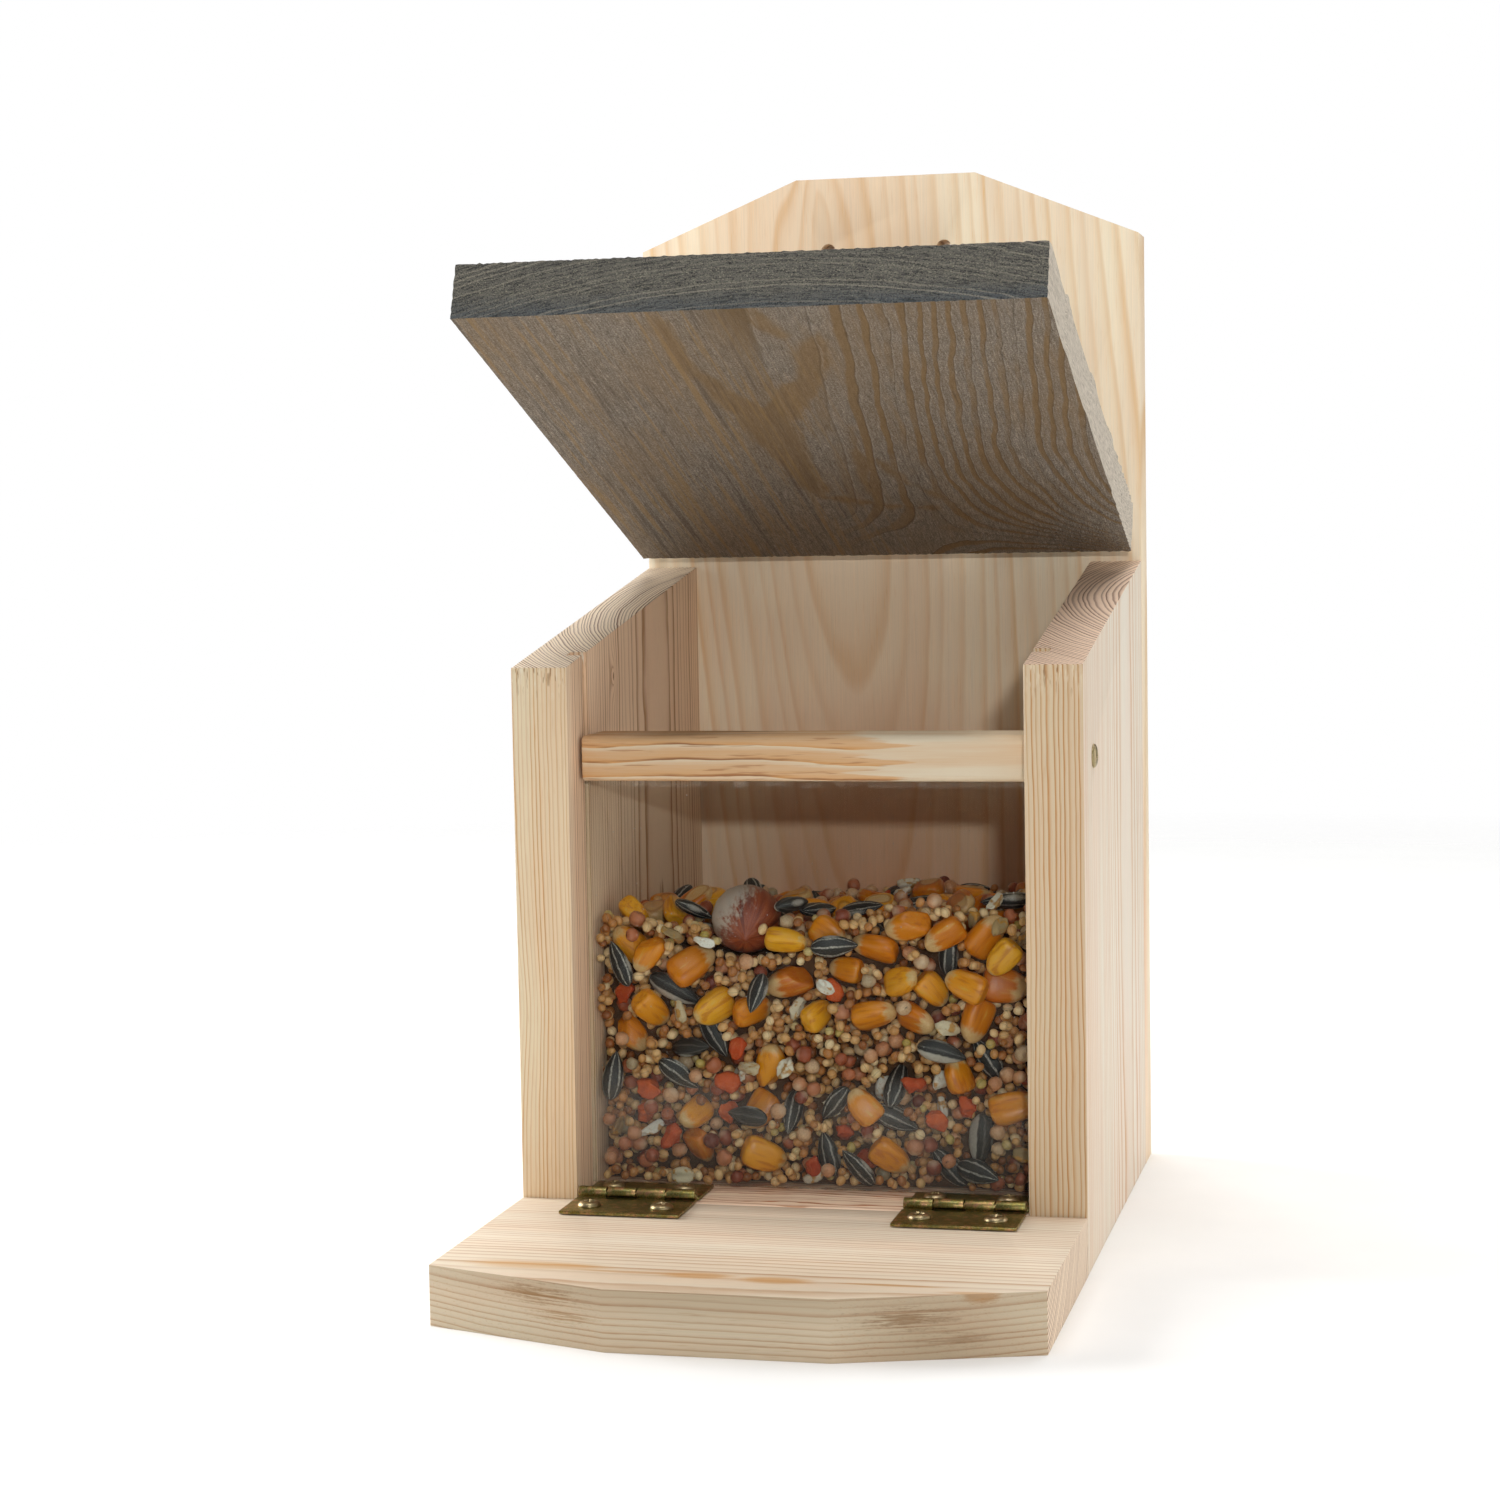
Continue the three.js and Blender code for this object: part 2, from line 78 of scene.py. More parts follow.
class Value:
    """What a node puts out. Arithmetic on it adds math nodes."""

    __add__, __radd__ = _adds("ADD"), _adds("ADD", swapped=True)
    __sub__, __rsub__ = _adds("SUBTRACT"), _adds("SUBTRACT", swapped=True)
    __mul__, __rmul__ = _adds("MULTIPLY"), _adds("MULTIPLY", swapped=True)
    __truediv__, __pow__ = _adds("DIVIDE"), _adds("POWER")

    def __init__(self, graph, socket):
        self.graph, self.socket = graph, socket

    def __neg__(self):
        return self * -1.0

    def __abs__(self):
        return self.graph.math("ABSOLUTE", self)

    def root(self):
        return self.graph.math("SQRT", self)

    def ramp(self, low, high, start=0.0, stop=1.0):
        """start at low, stop at high, straight in between and level beyond. low may be the larger one."""
        return self.graph.value("ShaderNodeMapRange", (self, low, high, start, stop), clamp=True)


class Graph:
    """A material's node tree. Its methods take values, numbers, hex colours and (x, y, z) of values."""

    def __init__(self, name):
        self.material = bpy.data.materials.new(name)
        self.material.use_nodes = True
        self.tree = self.material.node_tree
        self.tree.nodes.clear()

    def feed(self, socket, value):
        if isinstance(value, (tuple, list)):
            value = self.vector(*value)
        if isinstance(value, Value):
            self.tree.links.new(value.socket, socket)
        else:
            socket.default_value = linear(value) if isinstance(value, str) else value

    def add(self, kind, inputs=(), **settings):
        """A node, with inputs fed in order or by name."""
        node = self.tree.nodes.new(kind)
        for key, value in settings.items():
            setattr(node, key, value)
        for key, value in inputs.items() if isinstance(inputs, dict) else enumerate(inputs):
            self.feed(node.inputs[key], value)
        return node

    def value(self, kind, inputs=(), output=0, **settings):
        return Value(self, self.add(kind, inputs, **settings).outputs[output])

    def math(self, operation, *values, clamp=False):
        return self.value("ShaderNodeMath", values, operation=operation, use_clamp=clamp)

    def total(self, first, *others):
        for other in others:
            first = first + other
        return first

    def most(self, first, *others):
        for other in others:
            first = self.math("MAXIMUM", first, other)
        return first

    def phase_and_year(self, rings):
        """How far through its year's ring a point is, and a random number for that year."""
        return self.math("FRACT", rings), self.random(self.math("FLOOR", rings))

    def mix(self, factor, first, second, blend="MIX"):
        inputs = {0: factor, 6: first, 7: second}
        return self.value("ShaderNodeMix", inputs, 2, data_type="RGBA", blend_type=blend)

    def coated(self, colour, *coats):
        """A colour under coats of (how strong, colour)."""
        for strength, coat in coats:
            colour = self.mix(strength, colour, coat)
        return colour

    def shaded(self, colour, shade):
        return self.mix(1.0, colour, (shade, shade, shade), blend="MULTIPLY")

    def curve(self, value, stops):
        """A number that follows (position, height) stops."""
        return self._colour_ramp(value, [(at, (h, h, h, 1.0)) for at, h in stops])

    def colours(self, value, *stops):
        """A colour that follows (position, hex) stops."""
        return self._colour_ramp(value, [(at, linear(code)) for at, code in stops])

    def _colour_ramp(self, value, stops):
        node = self.add("ShaderNodeValToRGB", (value,))
        elements = node.color_ramp.elements
        while len(elements) < len(stops):
            elements.new(1.0)
        for element, (at, colour) in zip(elements, stops):
            element.position, element.color = at, colour
        return Value(self, node.outputs[0])

    def vector(self, x, y, z):
        return self.value("ShaderNodeCombineXYZ", (x, y, z))

    def split(self, vector):
        return [Value(self, part) for part in self.add("ShaderNodeSeparateXYZ", (vector,)).outputs]

    def places_mm(self):
        """The object's own x, y and z in millimetres."""
        return [part / MM for part in self.split(self.value("ShaderNodeTexCoord", output="Object"))]

    def normals(self):
        return self.split(self.value("ShaderNodeTexCoord", output="Normal"))

    def attribute(self, name, output="Fac"):
        return self.value("ShaderNodeAttribute", output=output, attribute_name=name)

    def noise(self, place, scale=1.0, detail=2.0, roughness=0.5, colour=False):
        inputs = {"Vector": place, "Scale": scale, "Detail": detail, "Roughness": roughness}
        return self.value("ShaderNodeTexNoise", inputs, "Color" if colour else "Fac")

    def random(self, value):
        return self.value("ShaderNodeTexWhiteNoise", {"W": value}, "Value", noise_dimensions="1D")

    def bump(self, height, strength, distance_mm):
        inputs = {"Strength": strength, "Distance": distance_mm * MM, "Height": height}
        return self.value("ShaderNodeBump", inputs)

    def shader(self, kind, **inputs):
        """A shader. Keyword names are its sockets with _ for a space."""
        named = {key.replace("_", " "): value for key, value in inputs.items()}
        return self.value("ShaderNode" + kind, named)

    def mix_shaders(self, factor, first, second):
        return self.value("ShaderNodeMixShader", (factor, first, second))

    def surfaced(self, shader):
        """The material, with this shader as its surface."""
        self.add("ShaderNodeOutputMaterial", (shader,))
        return self.material

    def principled(self, **inputs):
        return self.surfaced(self.shader("BsdfPrincipled", **inputs))


# Wood

# How dark each part of a year's ring is, from the pale spring wood to the sharp edge of the summer wood.
# On a board's end the summer wood shows wider and darker.
RING_ON_FACE = [(0.0, 0.0), (0.4, 0.04), (0.62, 0.18), (0.8, 0.72), (0.9, 1.0), (0.96, 0.7), (1.0, 0.0)]
SOFT_RING = [(0.0, 0.0), (0.3, 0.06), (0.55, 0.32), (0.76, 0.9), (0.86, 0.85), (1.0, 0.0)]
RING_ON_END = [(0.0, 0.0), (0.32, 0.05), (0.56, 0.28), (0.74, 0.9), (0.92, 1.0), (1.0, 0.0)]


class Fibres:
    """Where a point of a board is: along its fibres, and across them on two axes. Lengths in mm."""

    def __init__(self, g, grain, seed):
        self.g, self.seed = g, seed
        self.place = g.places_mm()
        self.axis = "XYZ".index(grain)
        self.along = self.place[self.axis]
        self.across, self.up = [self.place[i] for i in range(3) if i != self.axis]

    def streaks(self, along, across, up, shift, **settings):
        """Noise with so many waves per mm on each axis."""
        place = (self.along * along + self.seed * shift, self.across * across, self.up * up)
        return self.g.noise(place, **settings)


def ring_count(g, wood, pith, growth, drift, wander):
    """How many rings lie between the pith and a point.

    The pith runs along the grain through the point pith, leaning by drift. growth is (rings per mm,
    rings per mm squared), and wander is how far broad and small bends go.
    """
    broad = g.split(wood.streaks(0.007, 0.03, 0.03, 1, detail=1.0, colour=True))
    small = g.split(wood.streaks(0.05, 0.16, 0.16, 2, detail=2.0, colour=True))
    offsets = []
    for value, centre, lean, bend, ripple in zip((wood.across, wood.up), pith, drift, broad, small):
        straight = value + (wood.along * -lean - centre)
        offsets.append(straight + (bend * wander[0] + ripple * wander[1] - sum(wander) / 2))
    square = offsets[0] ** 2 + offsets[1] ** 2
    even = square.root() * growth[0] + square * growth[1]
    uneven = g.noise((even * 0.37 + wood.seed, 0.0, 0.0), detail=1.0)
    return even + uneven * 1.7 + 39.1


PINE_TONES = {
    "early": "#efe3ca",
    "late": "#cd9a60",
    "end_early": "#f4dfc4",
    "end_late": "#8a5a38",
    "blush": "#eed9bd",
    "heart": "#e2bd9f",
    "heart_late": "#c28e6c",
}


def swirl(g, wood, knots, count):
    """The ring count with the rings pulled round the knots, and how dark each knot's middle is."""
    core = 0.0
    for x, y, z, radius in knots:
        flat = [part - at for part, at in zip(wood.place, (x, y, z))]
        flat[wood.axis] = flat[wood.axis] * 0.45
        distance = g.total(*[part ** 2 for part in flat]).root()
        count = count + g.math("EXPONENT", distance * (-1 / (radius * 1.6))) * 4.0
        core = g.most(distance.ramp(radius * 0.55, radius * 0.2), core)
    return count, core


def stained(g, place, stain, ragged=None, edge=0.25):
    """How near a point is to the middle of a stain, from 0 to 1. edge says where it reaches 1."""
    parts = [((part - at) / reach) ** 2 for part, at, reach in zip(place, stain[:3], stain[3:6])]
    away = g.total(*parts).root()
    return (away + ragged if ragged else away).ramp(1.0, edge)


def with_stains(g, wood, colour, stains, marks, fibres, strength):
    """The colour of the wood's faces under its amber stains and its streaky marks."""
    ragged = fibres * 0.9 - 0.45
    for stain in stains:
        near = stained(g, wood.place, stain, ragged, 0.55)
        colour = g.mix(near * strength.ramp(0.1, 0.6, stain[6], 0.85), colour, stain[7])
    slivers = wood.streaks(0.07, 0.12, 2.3, 9, detail=3.0, roughness=0.6)
    for mark in marks:
        near = stained(g, wood.place, mark, ragged, 0.3)
        colour = g.mix(near * (slivers + near * 0.1).ramp(0.54, 0.62, 0.0, mark[6]), colour, mark[7])
    return colour


def tear_out(g, wood, top_z, colour):
    """Short pale and brown slivers just under the top of a sawn front edge."""
    z = wood.along
    slivers = g.noise((wood.across * 1.3, z * 0.16, top_z), detail=2.0, roughness=0.6)
    near_top = z.ramp(top_z - 9.0, top_z - 1.5) * g.normals()[1].ramp(-0.8, -0.95)
    return g.coated(
        colour,
        (near_top * slivers.ramp(0.57, 0.64, 0.0, 0.85), "#f6f0e4"),
        (near_top * slivers.ramp(0.4, 0.34, 0.0, 0.8), "#a37a50"),
    )


def ring_strength(g, wood, summer, fibres, patches, contrast, front_contrast, on_front):
    """How much of the summer wood's colour shows on a planed face."""
    strength = summer * patches.ramp(0.3, 0.7, 0.75, 1.15) * contrast
    if front_contrast:
        strength = strength * on_front.ramp(0.0, 1.0, 1.0, front_contrast)
    dashes = wood.streaks(0.12, 3.4, 3.4, 7, detail=2.0, roughness=0.6)
    streaky = (fibres - 0.5) * 0.45 + dashes.ramp(0.6, 0.7, 0.0, 0.22)
    return g.math("ADD", strength, streaky, clamp=True)


def with_heart(g, colour, heart, from_pith, strength, tones):
    """The colour with the pinkish heartwood round the pith."""
    rings, fade, amount = heart
    inner = from_pith.ramp(rings + 1 + fade / 2, rings + 1 - fade / 2, 0.0, amount)
    return g.mix(inner, colour, g.mix(strength, tones["heart"], tones["heart_late"]))


def end_grain(g, phase, year, pores, tones):
    """The colour of a sawn end."""
    summer = g.curve(phase, RING_ON_END) * (year * 0.5 + 0.55)
    strength = g.math("ADD", summer, (pores - 0.5) * 0.5, clamp=True)
    return g.mix(strength, tones["end_early"], tones["end_late"])


def pine(name, grain, pith, growth, drift=(0.0, 0.0), wander=(4.0, 0.7), seed=0.0, ring=RING_ON_FACE,
         contrast=1.0, tones=None, knots=(), stains=(), marks=(), heart=None, front=(None, None),
         painted_shades=(), torn_top_z=None):
    """Planed pine with its rings running through the whole board. Lengths are in mm.

    grain is the axis that the board's fibres follow, and ring_count says what pith to wander are.
    knots: (x, y, z, radius)
    stains: (x, y, z, reach x, reach y, reach z, strength in the spring wood, colour)
    marks: like stains, but broken into fine streaks
    heart: how many rings round the pith are pinkish, over how many that fades, and how strongly
    front: how the sawn front edge differs, as (contrast, colour laid over it); the colour is painted shade
    washes: painted shade, as (x, y, z, reach x, reach y, reach z, colour laid over)
    torn_top_z: the top of a sawn front edge with torn fibres
    """
    tones = {**PINE_TONES, **(tones or {})}
    g = Graph(name)
    wood = Fibres(g, grain, seed)
    count = ring_count(g, wood, pith, growth, drift, wander)
    from_pith = abs(count - 40.0)
    count, knot_core = swirl(g, wood, knots, count)
    phase, year = g.phase_and_year(count)
    summer = g.curve(phase, ring) * (year * 0.75 + 0.42)

    fibres = wood.streaks(0.045, 2.3, 2.3, 3, detail=3.0, roughness=0.65)
    patches = wood.streaks(0.012, 0.07, 0.07, 5, detail=2.0)
    on_front = g.normals()[1].ramp(-0.4, -0.75)
    strength = ring_strength(g, wood, summer, fibres, patches, contrast, front[0], on_front)
    face = g.mix(strength, g.mix(patches.ramp(0.35, 0.65), tones["early"], tones["blush"]), tones["late"])
    if heart:
        face = with_heart(g, face, heart, from_pith + patches * 2.0, strength, tones)
    face = with_stains(g, wood, face, stains, marks, fibres, strength)

    pores = g.noise(wood.place, scale=3.2, detail=2.0, roughness=0.7)
    on_end = abs(g.normals()[wood.axis]).ramp(0.55, 0.8)
    colour = g.mix(on_end, face, end_grain(g, phase, year, pores, tones))
    if knots:
        colour = g.mix(knot_core * 0.85, colour, "#7a4a28")
    if torn_top_z:
        colour = tear_out(g, wood, torn_top_z, colour)
    # Painted shade: the faces that look forward are darkened by front's colour.
    if front[1]:
        colour = g.mix(on_front, colour, front[1], blend="MULTIPLY")
    # Painted shade, multiplied over the wood's colour.
    for wash in painted_shades:
        colour = g.mix(stained(g, wood.place, wash), colour, wash[6], blend="MULTIPLY")
    return g.principled(
        Base_Color=g.shaded(colour, fibres.ramp(0.3, 0.7, 0.93, 1.05)),
        Roughness=fibres.ramp(0.2, 0.8, 0.66, 0.56) - summer * 0.06,
        Normal=g.bump(fibres * 0.7 + summer * 0.25 + pores * on_end * 0.6, 0.35, 0.12),
        Specular_IOR_Level=0.32,
    )


FLAME_LINE = [(0.0, 0.1), (0.1, 0.3), (0.3, 0.66), (0.75, 0.76), (0.9, 0.95), (0.965, 1.0), (1.0, 0.1)]


def flame_pine():
    """The crossbar: amber wood with wavy cream lines that ends in flame tips, and cream wood beyond."""
    g = Graph("pine_crossbar")
    x, y, z = g.places_mm()
    slow = g.split(g.noise((x * 0.022, y * 0.05, z * 0.06), detail=1.0, colour=True))[0]
    quick = g.noise((x * 0.09, y * 0.4, z * 0.4), detail=2.0)
    fibres = g.noise((x * 0.05, y * 2.4, z * 2.4), detail=3.0, roughness=0.7)
    level = -z + slow * 5.0 + quick * 0.9 + y * 0.35
    phase = g.math("FRACT", (level - x.ramp(-10.0, 25.0) * 1.6 + 400.6) / 4.15)
    line = g.curve(phase, FLAME_LINE)

    tips = g.math("SINE", z * 1.36 + 0.9) * 6.5 + g.math("SINE", z * 3.1) * 3.2
    flame = (x - tips + fibres * 16.0 + quick * 6.0).ramp(35.0, 31.0)
    beyond = g.noise((x * 0.02, y * 0.2, z * 0.26), detail=1.0).ramp(0.4, 0.7) * 0.4
    strength = g.math("ADD", g.most(line * flame, beyond), (fibres - 0.5) * 0.55, clamp=True)
    dark_line = phase.ramp(0.8, 0.93) * phase.ramp(0.99, 0.96) * flame
    scorched = g.noise((x * 0.04, y * 0.3, z * 0.5), detail=3.0).ramp(0.44, 0.56)
    streak = g.noise((x * 0.08, y * 1.6, z * 1.6), detail=2.0).ramp(0.6, 0.68)
    on_end = abs(g.normals()[0]).ramp(0.55, 0.8)
    colour = g.coated(
        g.mix(strength, "#dfd1b7", "#d29e64"),
        (dark_line * scorched * 0.9, "#8a5a3c"),
        (streak * flame * 0.55, "#a86f42"),
        (on_end, g.mix(strength, PINE_TONES["end_early"], PINE_TONES["end_late"])),
    )
    return g.principled(
        Base_Color=colour,
        Roughness=fibres.ramp(0.2, 0.8, 0.62, 0.5),
        Normal=g.bump(fibres, 0.35, 0.12),
        Specular_IOR_Level=0.35,
    )


# Meshes

BOARD_EASED_MM = 0.4


def finish_mesh(mesh, material):
    mesh.materials.clear()
    mesh.materials.append(material)
    return mesh


def new_object(name, mesh, material=None):
    piece = bpy.data.objects.new(name, mesh)
    bpy.context.scene.collection.objects.link(piece)
    if material:
        finish_mesh(mesh, material)
    return piece


def smooth(mesh, sharp_angle=None):
    """Smooth shading, but where faces meet at more than sharp_angle degrees."""
    mesh.polygons.foreach_set("use_smooth", np.ones(len(mesh.polygons), bool))
    if sharp_angle:
        mesh.set_sharp_from_angle(angle=math.radians(sharp_angle))


def smooth_mesh(name, points, faces, attributes, sharp_angle=None):
    """A mesh from points in metres, with attributes of one or three numbers for each point."""
    mesh = bpy.data.meshes.new(name)
    mesh.from_pydata(points.tolist(), [], faces.tolist())
    for key, values in attributes.items():
        kind, field = ("FLOAT", "value") if values.ndim == 1 else ("FLOAT_VECTOR", "vector")
        mesh.attributes.new(key, kind, "POINT").data.foreach_set(field, values.ravel())
    smooth(mesh, sharp_angle)
    return mesh


def to_mesh(name, bm, smooth_angle=None):
    """A mesh from a bmesh, smooth where faces meet at less than smooth_angle degrees."""
    bmesh.ops.recalc_face_normals(bm, faces=bm.faces)
    if smooth_angle is not None:
        limit = math.radians(smooth_angle)
        for face in bm.faces:
            face.smooth = True
        for edge in bm.edges:
            edge.smooth = len(edge.link_faces) == 2 and edge.calc_face_angle() < limit
    mesh = bpy.data.meshes.new(name)
    bm.to_mesh(mesh)
    bm.free()
    return mesh


def with_modifiers_applied(piece):
    """Swaps the piece's mesh for what its modifiers make of it."""
    bpy.context.view_layer.update()
    graph = bpy.context.evaluated_depsgraph_get()
    made = bpy.data.meshes.new_from_object(piece.evaluated_get(graph))
    old = piece.data
    piece.modifiers.clear()
    piece.data = made
    bpy.data.meshes.remove(old)
    return piece


def eased(piece, width_mm, segments, angle=35, sharp_angle=38):
    """The piece with its arrises rounded off where faces meet at more than angle degrees."""
    bevel = piece.modifiers.new("ease", "BEVEL")
    bevel.width = width_mm * MM
    bevel.segments = segments
    bevel.limit_method = "ANGLE"
    bevel.angle_limit = math.radians(angle)
    with_modifiers_applied(piece)
    smooth(piece.data, sharp_angle)
    return piece


def dressed_board(node, material):
    """The board that a CAD node holds, with its arrises eased, in the node's place."""
    bm = bmesh.new()
    bm.from_mesh(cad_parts[node].data)
    bmesh.ops.remove_doubles(bm, verts=bm.verts, dist=0.001 * MM)
    bmesh.ops.dissolve_limit(
        bm, angle_limit=math.radians(0.5), verts=bm.verts, edges=bm.edges, use_dissolve_boundaries=False
    )
    name = "visual_" + node
    board = eased(new_object(name, to_mesh(name, bm)), BOARD_EASED_MM, 3, sharp_angle=32)
    finish_mesh(board.data, material)
    return board


def place(piece, body, slot, *nodes):
    """Puts a piece on its body, in the place of CAD nodes."""
    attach(piece, body)
    if nodes:
        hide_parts(*nodes)


SIDE_TOP_OVER_BAR_MM = 18.5
# Brown marks on the platform's cut corners, as pine takes them
PLATFORM_MARKS = [
    (-44, -116, 11.6, 17, 9, 3.4, 0.62, "#a5783c"),
    (-38, -117, 7.2, 13, 9, 2.4, 0.5, "#b0844c"),
    (44, -116, 9.8, 18, 9, 4.0, 0.62, "#9a6f38"),
    (54, -113, 4.6, 13, 9, 2.6, 0.45, "#a47c50"),
]
# Amber flames on the platform's top near the front, as pine takes stains
PLATFORM_STAINS = [
    (-49, -101, 15, 22, 4.6, 3, 0.55, "#d4a266"),
    (-22, -104, 15, 22, 1.4, 3, 0.6, "#c89254"),
    (-8, -104.5, 15, 11, 3.4, 3, 0.7, "#cf9b5c"),
    (11, -106, 15, 11, 3.6, 3, 0.75, "#d2a064"),
    (38, -106, 15, 16, 1.2, 3, 0.6, "#c89658"),
    (62, -110, 15, 13, 1.8, 3, 0.6, "#cf9c60"),
]


def board_materials():
    """Each board's body, slot and material."""
    side_top_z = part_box("crossbar")[1].z / MM + SIDE_TOP_OVER_BAR_MM
    back = pine(
        "pine_back", "Z", (1.5, 143.8), (0.21, 0.0), drift=(-0.08, -0.13), wander=(7.0, 0.9), seed=3.1,
        ring=SOFT_RING, contrast=0.6, heart=(7.0, 4.0, 0.65), knots=((-27, 106, 306, 8.0),),
        tones={"early": "#f6e8cc", "late": "#dcae70", "heart": "#ecd0b0", "heart_late": "#dcb080"},
        # Painted shade: the lower part of the front face, inside the hopper, is darkened and warmed.
        painted_shades=((0, 105.75, 55, 110, 14, 95, "#f8d2c4"),),
    )
    left = pine(
        "pine_side_left", "Z", (45, 57), (1.05, 0.0), drift=(0.004, 0.0), wander=(2.2, 0.5), seed=7.7,
        knots=((-60, 13, 151, 1.1), (-77, -34, 66, 5.0)), heart=(142.9, 4.6, 0.9),
        tones={"heart": "#f8d8b8", "heart_late": "#ac7c54", "end_early": "#fdeacf", "end_late": "#7a4a28"},
        front=(0.85, "#fbf6ec"), torn_top_z=side_top_z,
    )
    right = pine(
        "pine_side_right", "Z", (155, 62), (-0.326, 0.0054), wander=(3.4, 0.6), seed=1.3,
        tones={"early": "#ebe2d2", "blush": "#ebdccb", "end_early": "#f8dcc2", "end_late": "#825236"},
        front=(1.2, "#ebdfca"), torn_top_z=side_top_z,
    )
    floor = pine(
        "pine_floor", "X", (30, 6), (0.4, 0.0), wander=(7.0, 6.0), seed=5.2, contrast=1.5,
        tones={"early": "#ffe6ca", "late": "#b86e30", "blush": "#fadcc2"},
    )
    platform = pine(
        "pine_platform", "X", (-121, 64), (0.54, 0.0008), wander=(2.6, 0.7), seed=2.6, contrast=0.8,
        tones={"early": "#ebdfca", "blush": "#ecd9c2", "late": "#b98a5e"},
        # Painted shade: the front faces, the right cut corner and the front of the top are darkened.
        stains=PLATFORM_STAINS, marks=PLATFORM_MARKS, front=(0.75, "#dfdbd1"),
        painted_shades=((54, -114, 5, 34, 12, 12, "#e6ded6"), (0, -112, 16, 115, 40, 9, "#e2ded8")),
    )
    return {
        "back_panel": ("box", "pine_back", back),
        "side_panel_left": ("box", "pine_side", left),
        "side_panel_right": ("box", "pine_side", right),
        "floor_board": ("box", "pine_floor", floor),
        "crossbar": ("box", "pine_crossbar", flame_pine()),
        "platform_board": ("platform", "pine_platform", platform),
    }


def add_boards():
    for node, (body, slot, material) in board_materials().items():
        place(dressed_board(node, material), body, slot, node)


# Lid

# The lid's own frame, in millimetres: its pins at the origin, X across, -Y towards its front end
LID_TILT = math.radians(19.6)
LID_LOW_MM = (-73.75, -186.0, -17.0)
LID_HIGH_MM = (73.75, -4.0, -2.0)
LID_CELL_MM = 0.9
LID_INSET_MM = 0.3

# Where the rings meet the lid's wide faces along its front end, as (x, ring number) from left to right
LID_RING_PLACES = [
    (-90, 10), (-75, 7), (-69.5, 6), (-64.5, 5), (-58.2, 4), (-51.3, 3), (-43.4, 2), (-31.5, 1), (-18, 0.4),
    (0, 0.4), (12, 1), (21.4, 2), (28.1, 3), (32.5, 4), (36.8, 5), (41.5, 6), (44.7, 7), (48.5, 8),
    (52.2, 9), (56.6, 10), (60.1, 11), (64, 12), (68, 13), (72, 14), (110, 24),
]
LID_END_PITH_MM = (8.0, -260.0)
LID_END_RINGS_PER_MM = 0.72
# The worn ochre strips of the underside, each a path of (x, distance from the rear, reach)
LID_WORN_PATHS = [
    [(-23, 182, 1.0), (-22, 157, 2.2), (-18, 129, 3.5), (-11, 103, 6.5), (-9, 84, 5.5), (-8, 51, 3.0)],
    [(17, 170, 1.0), (12, 155, 3.8), (6, 136, 4.2), (-3, 122, 5.0), (-10, 108, 5.0)],
    [(-2, 183, 3.5), (1, 176, 4.0), (5, 165, 1.5)],
    [(11, 106, 0.5), (8, 75, 2.0), (7, 51, 0.5)],
    [(13, 80, 0.3), (17, 62, 1.2), (26, 48, 0.3)],
    [(-8, 51, 3.0), (10, 42, 1.5), (22, 40, 0.5)],
]


def lid_frame():
    low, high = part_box("lid_hinge_left_pin")
    middle = (low + high) / 2
    return Matrix.Translation((0.0, middle.y, middle.z)) @ Matrix.Rotation(-LID_TILT, 4, "X")


def grid_box(low, high, cell):
    """Points and quads of a box whose faces are cut into cells."""
    low, high = np.array(low), np.array(high)
    count = np.maximum(np.round((high - low) / cell).astype(int), 1)
    points, quads, start = [], [], 0
    for axis in range(3):
        a, b = (axis + 1) % 3, (axis + 2) % 3
        for side in (0, 1):
            i, j = np.meshgrid(np.arange(count[a] + 1), np.arange(count[b] + 1), indexing="ij")
            place_at = np.empty((*i.shape, 3), int)
            place_at[..., a], place_at[..., b] = i, j
            place_at[..., axis] = side * count[axis]
            number = np.arange(i.size).reshape(i.shape) + start
            corners = [number[:-1, :-1], number[1:, :-1], number[1:, 1:], number[:-1, 1:]]
            if side == 0:
                corners.reverse()
            points.append(place_at.reshape(-1, 3))
            quads.append(np.stack(corners, -1).reshape(-1, 4))
            start += i.size
    unique, lookup = np.unique(np.concatenate(points), axis=0, return_inverse=True)
    return low + unique / count * (high - low), lookup.reshape(-1)[np.concatenate(quads)]


def perlin(points, scale, shift=0.0):
    """Smooth noise of about -1 to 1 at each point, scale being three numbers."""
    spots = points * np.array(scale) + shift
    return np.array([noise.noise(spot) for spot in spots.tolist()])


def lid_rings(points):
    """The ring number at each point of the lid's wide faces. At the rear the rings sweep round a knot."""
    x, y = points.T[:2]
    from_rear = LID_HIGH_MM[1] - y
    lean = 0.13 * (LID_HIGH_MM[1] - LID_LOW_MM[1] - from_rear) * step(x, -22.0, 8.0)
    sweep = 60.0 * np.exp(-from_rear / 28.0) * np.clip((x + 10.0) / 65.0, 0, 1)
    wave = 1.6 * perlin(points, (0.035, 0.028, 0.05)) + 0.7 * perlin(points, (0.12, 0.075, 0.1), 9.0)
    notches = 0.5 * perlin(points, (0.25, 0.06, 0.3), 2.0) + 0.22 * perlin(points, (0.6, 0.25, 0.6), 7.0)
    at_front = x + lean - sweep + wave * step(x, -30.0, 10.0) + notches
    places, numbers = np.array(LID_RING_PLACES).T
    round_knot = 3.4 * np.exp(-((x + 3.0) / 24.0) ** 2 - (from_rear / 26.0) ** 2)
    return np.interp(at_front, places, numbers) + round_knot


def gap_to_path(x, y, path):
    """How far each point is from a path of (x, y, reach), less the path's reach there."""
    gap = np.full(len(x), 99.0)
    for (x0, y0, r0), (x1, y1, r1) in zip(path, path[1:]):
        span = (x1 - x0) ** 2 + (y1 - y0) ** 2
        part = np.clip(((x - x0) * (x1 - x0) + (y - y0) * (y1 - y0)) / span, 0, 1)
        away = np.hypot(x - x0 - part * (x1 - x0), y - y0 - part * (y1 - y0))
        gap = np.minimum(gap, away - r0 - part * (r1 - r0))
    return gap


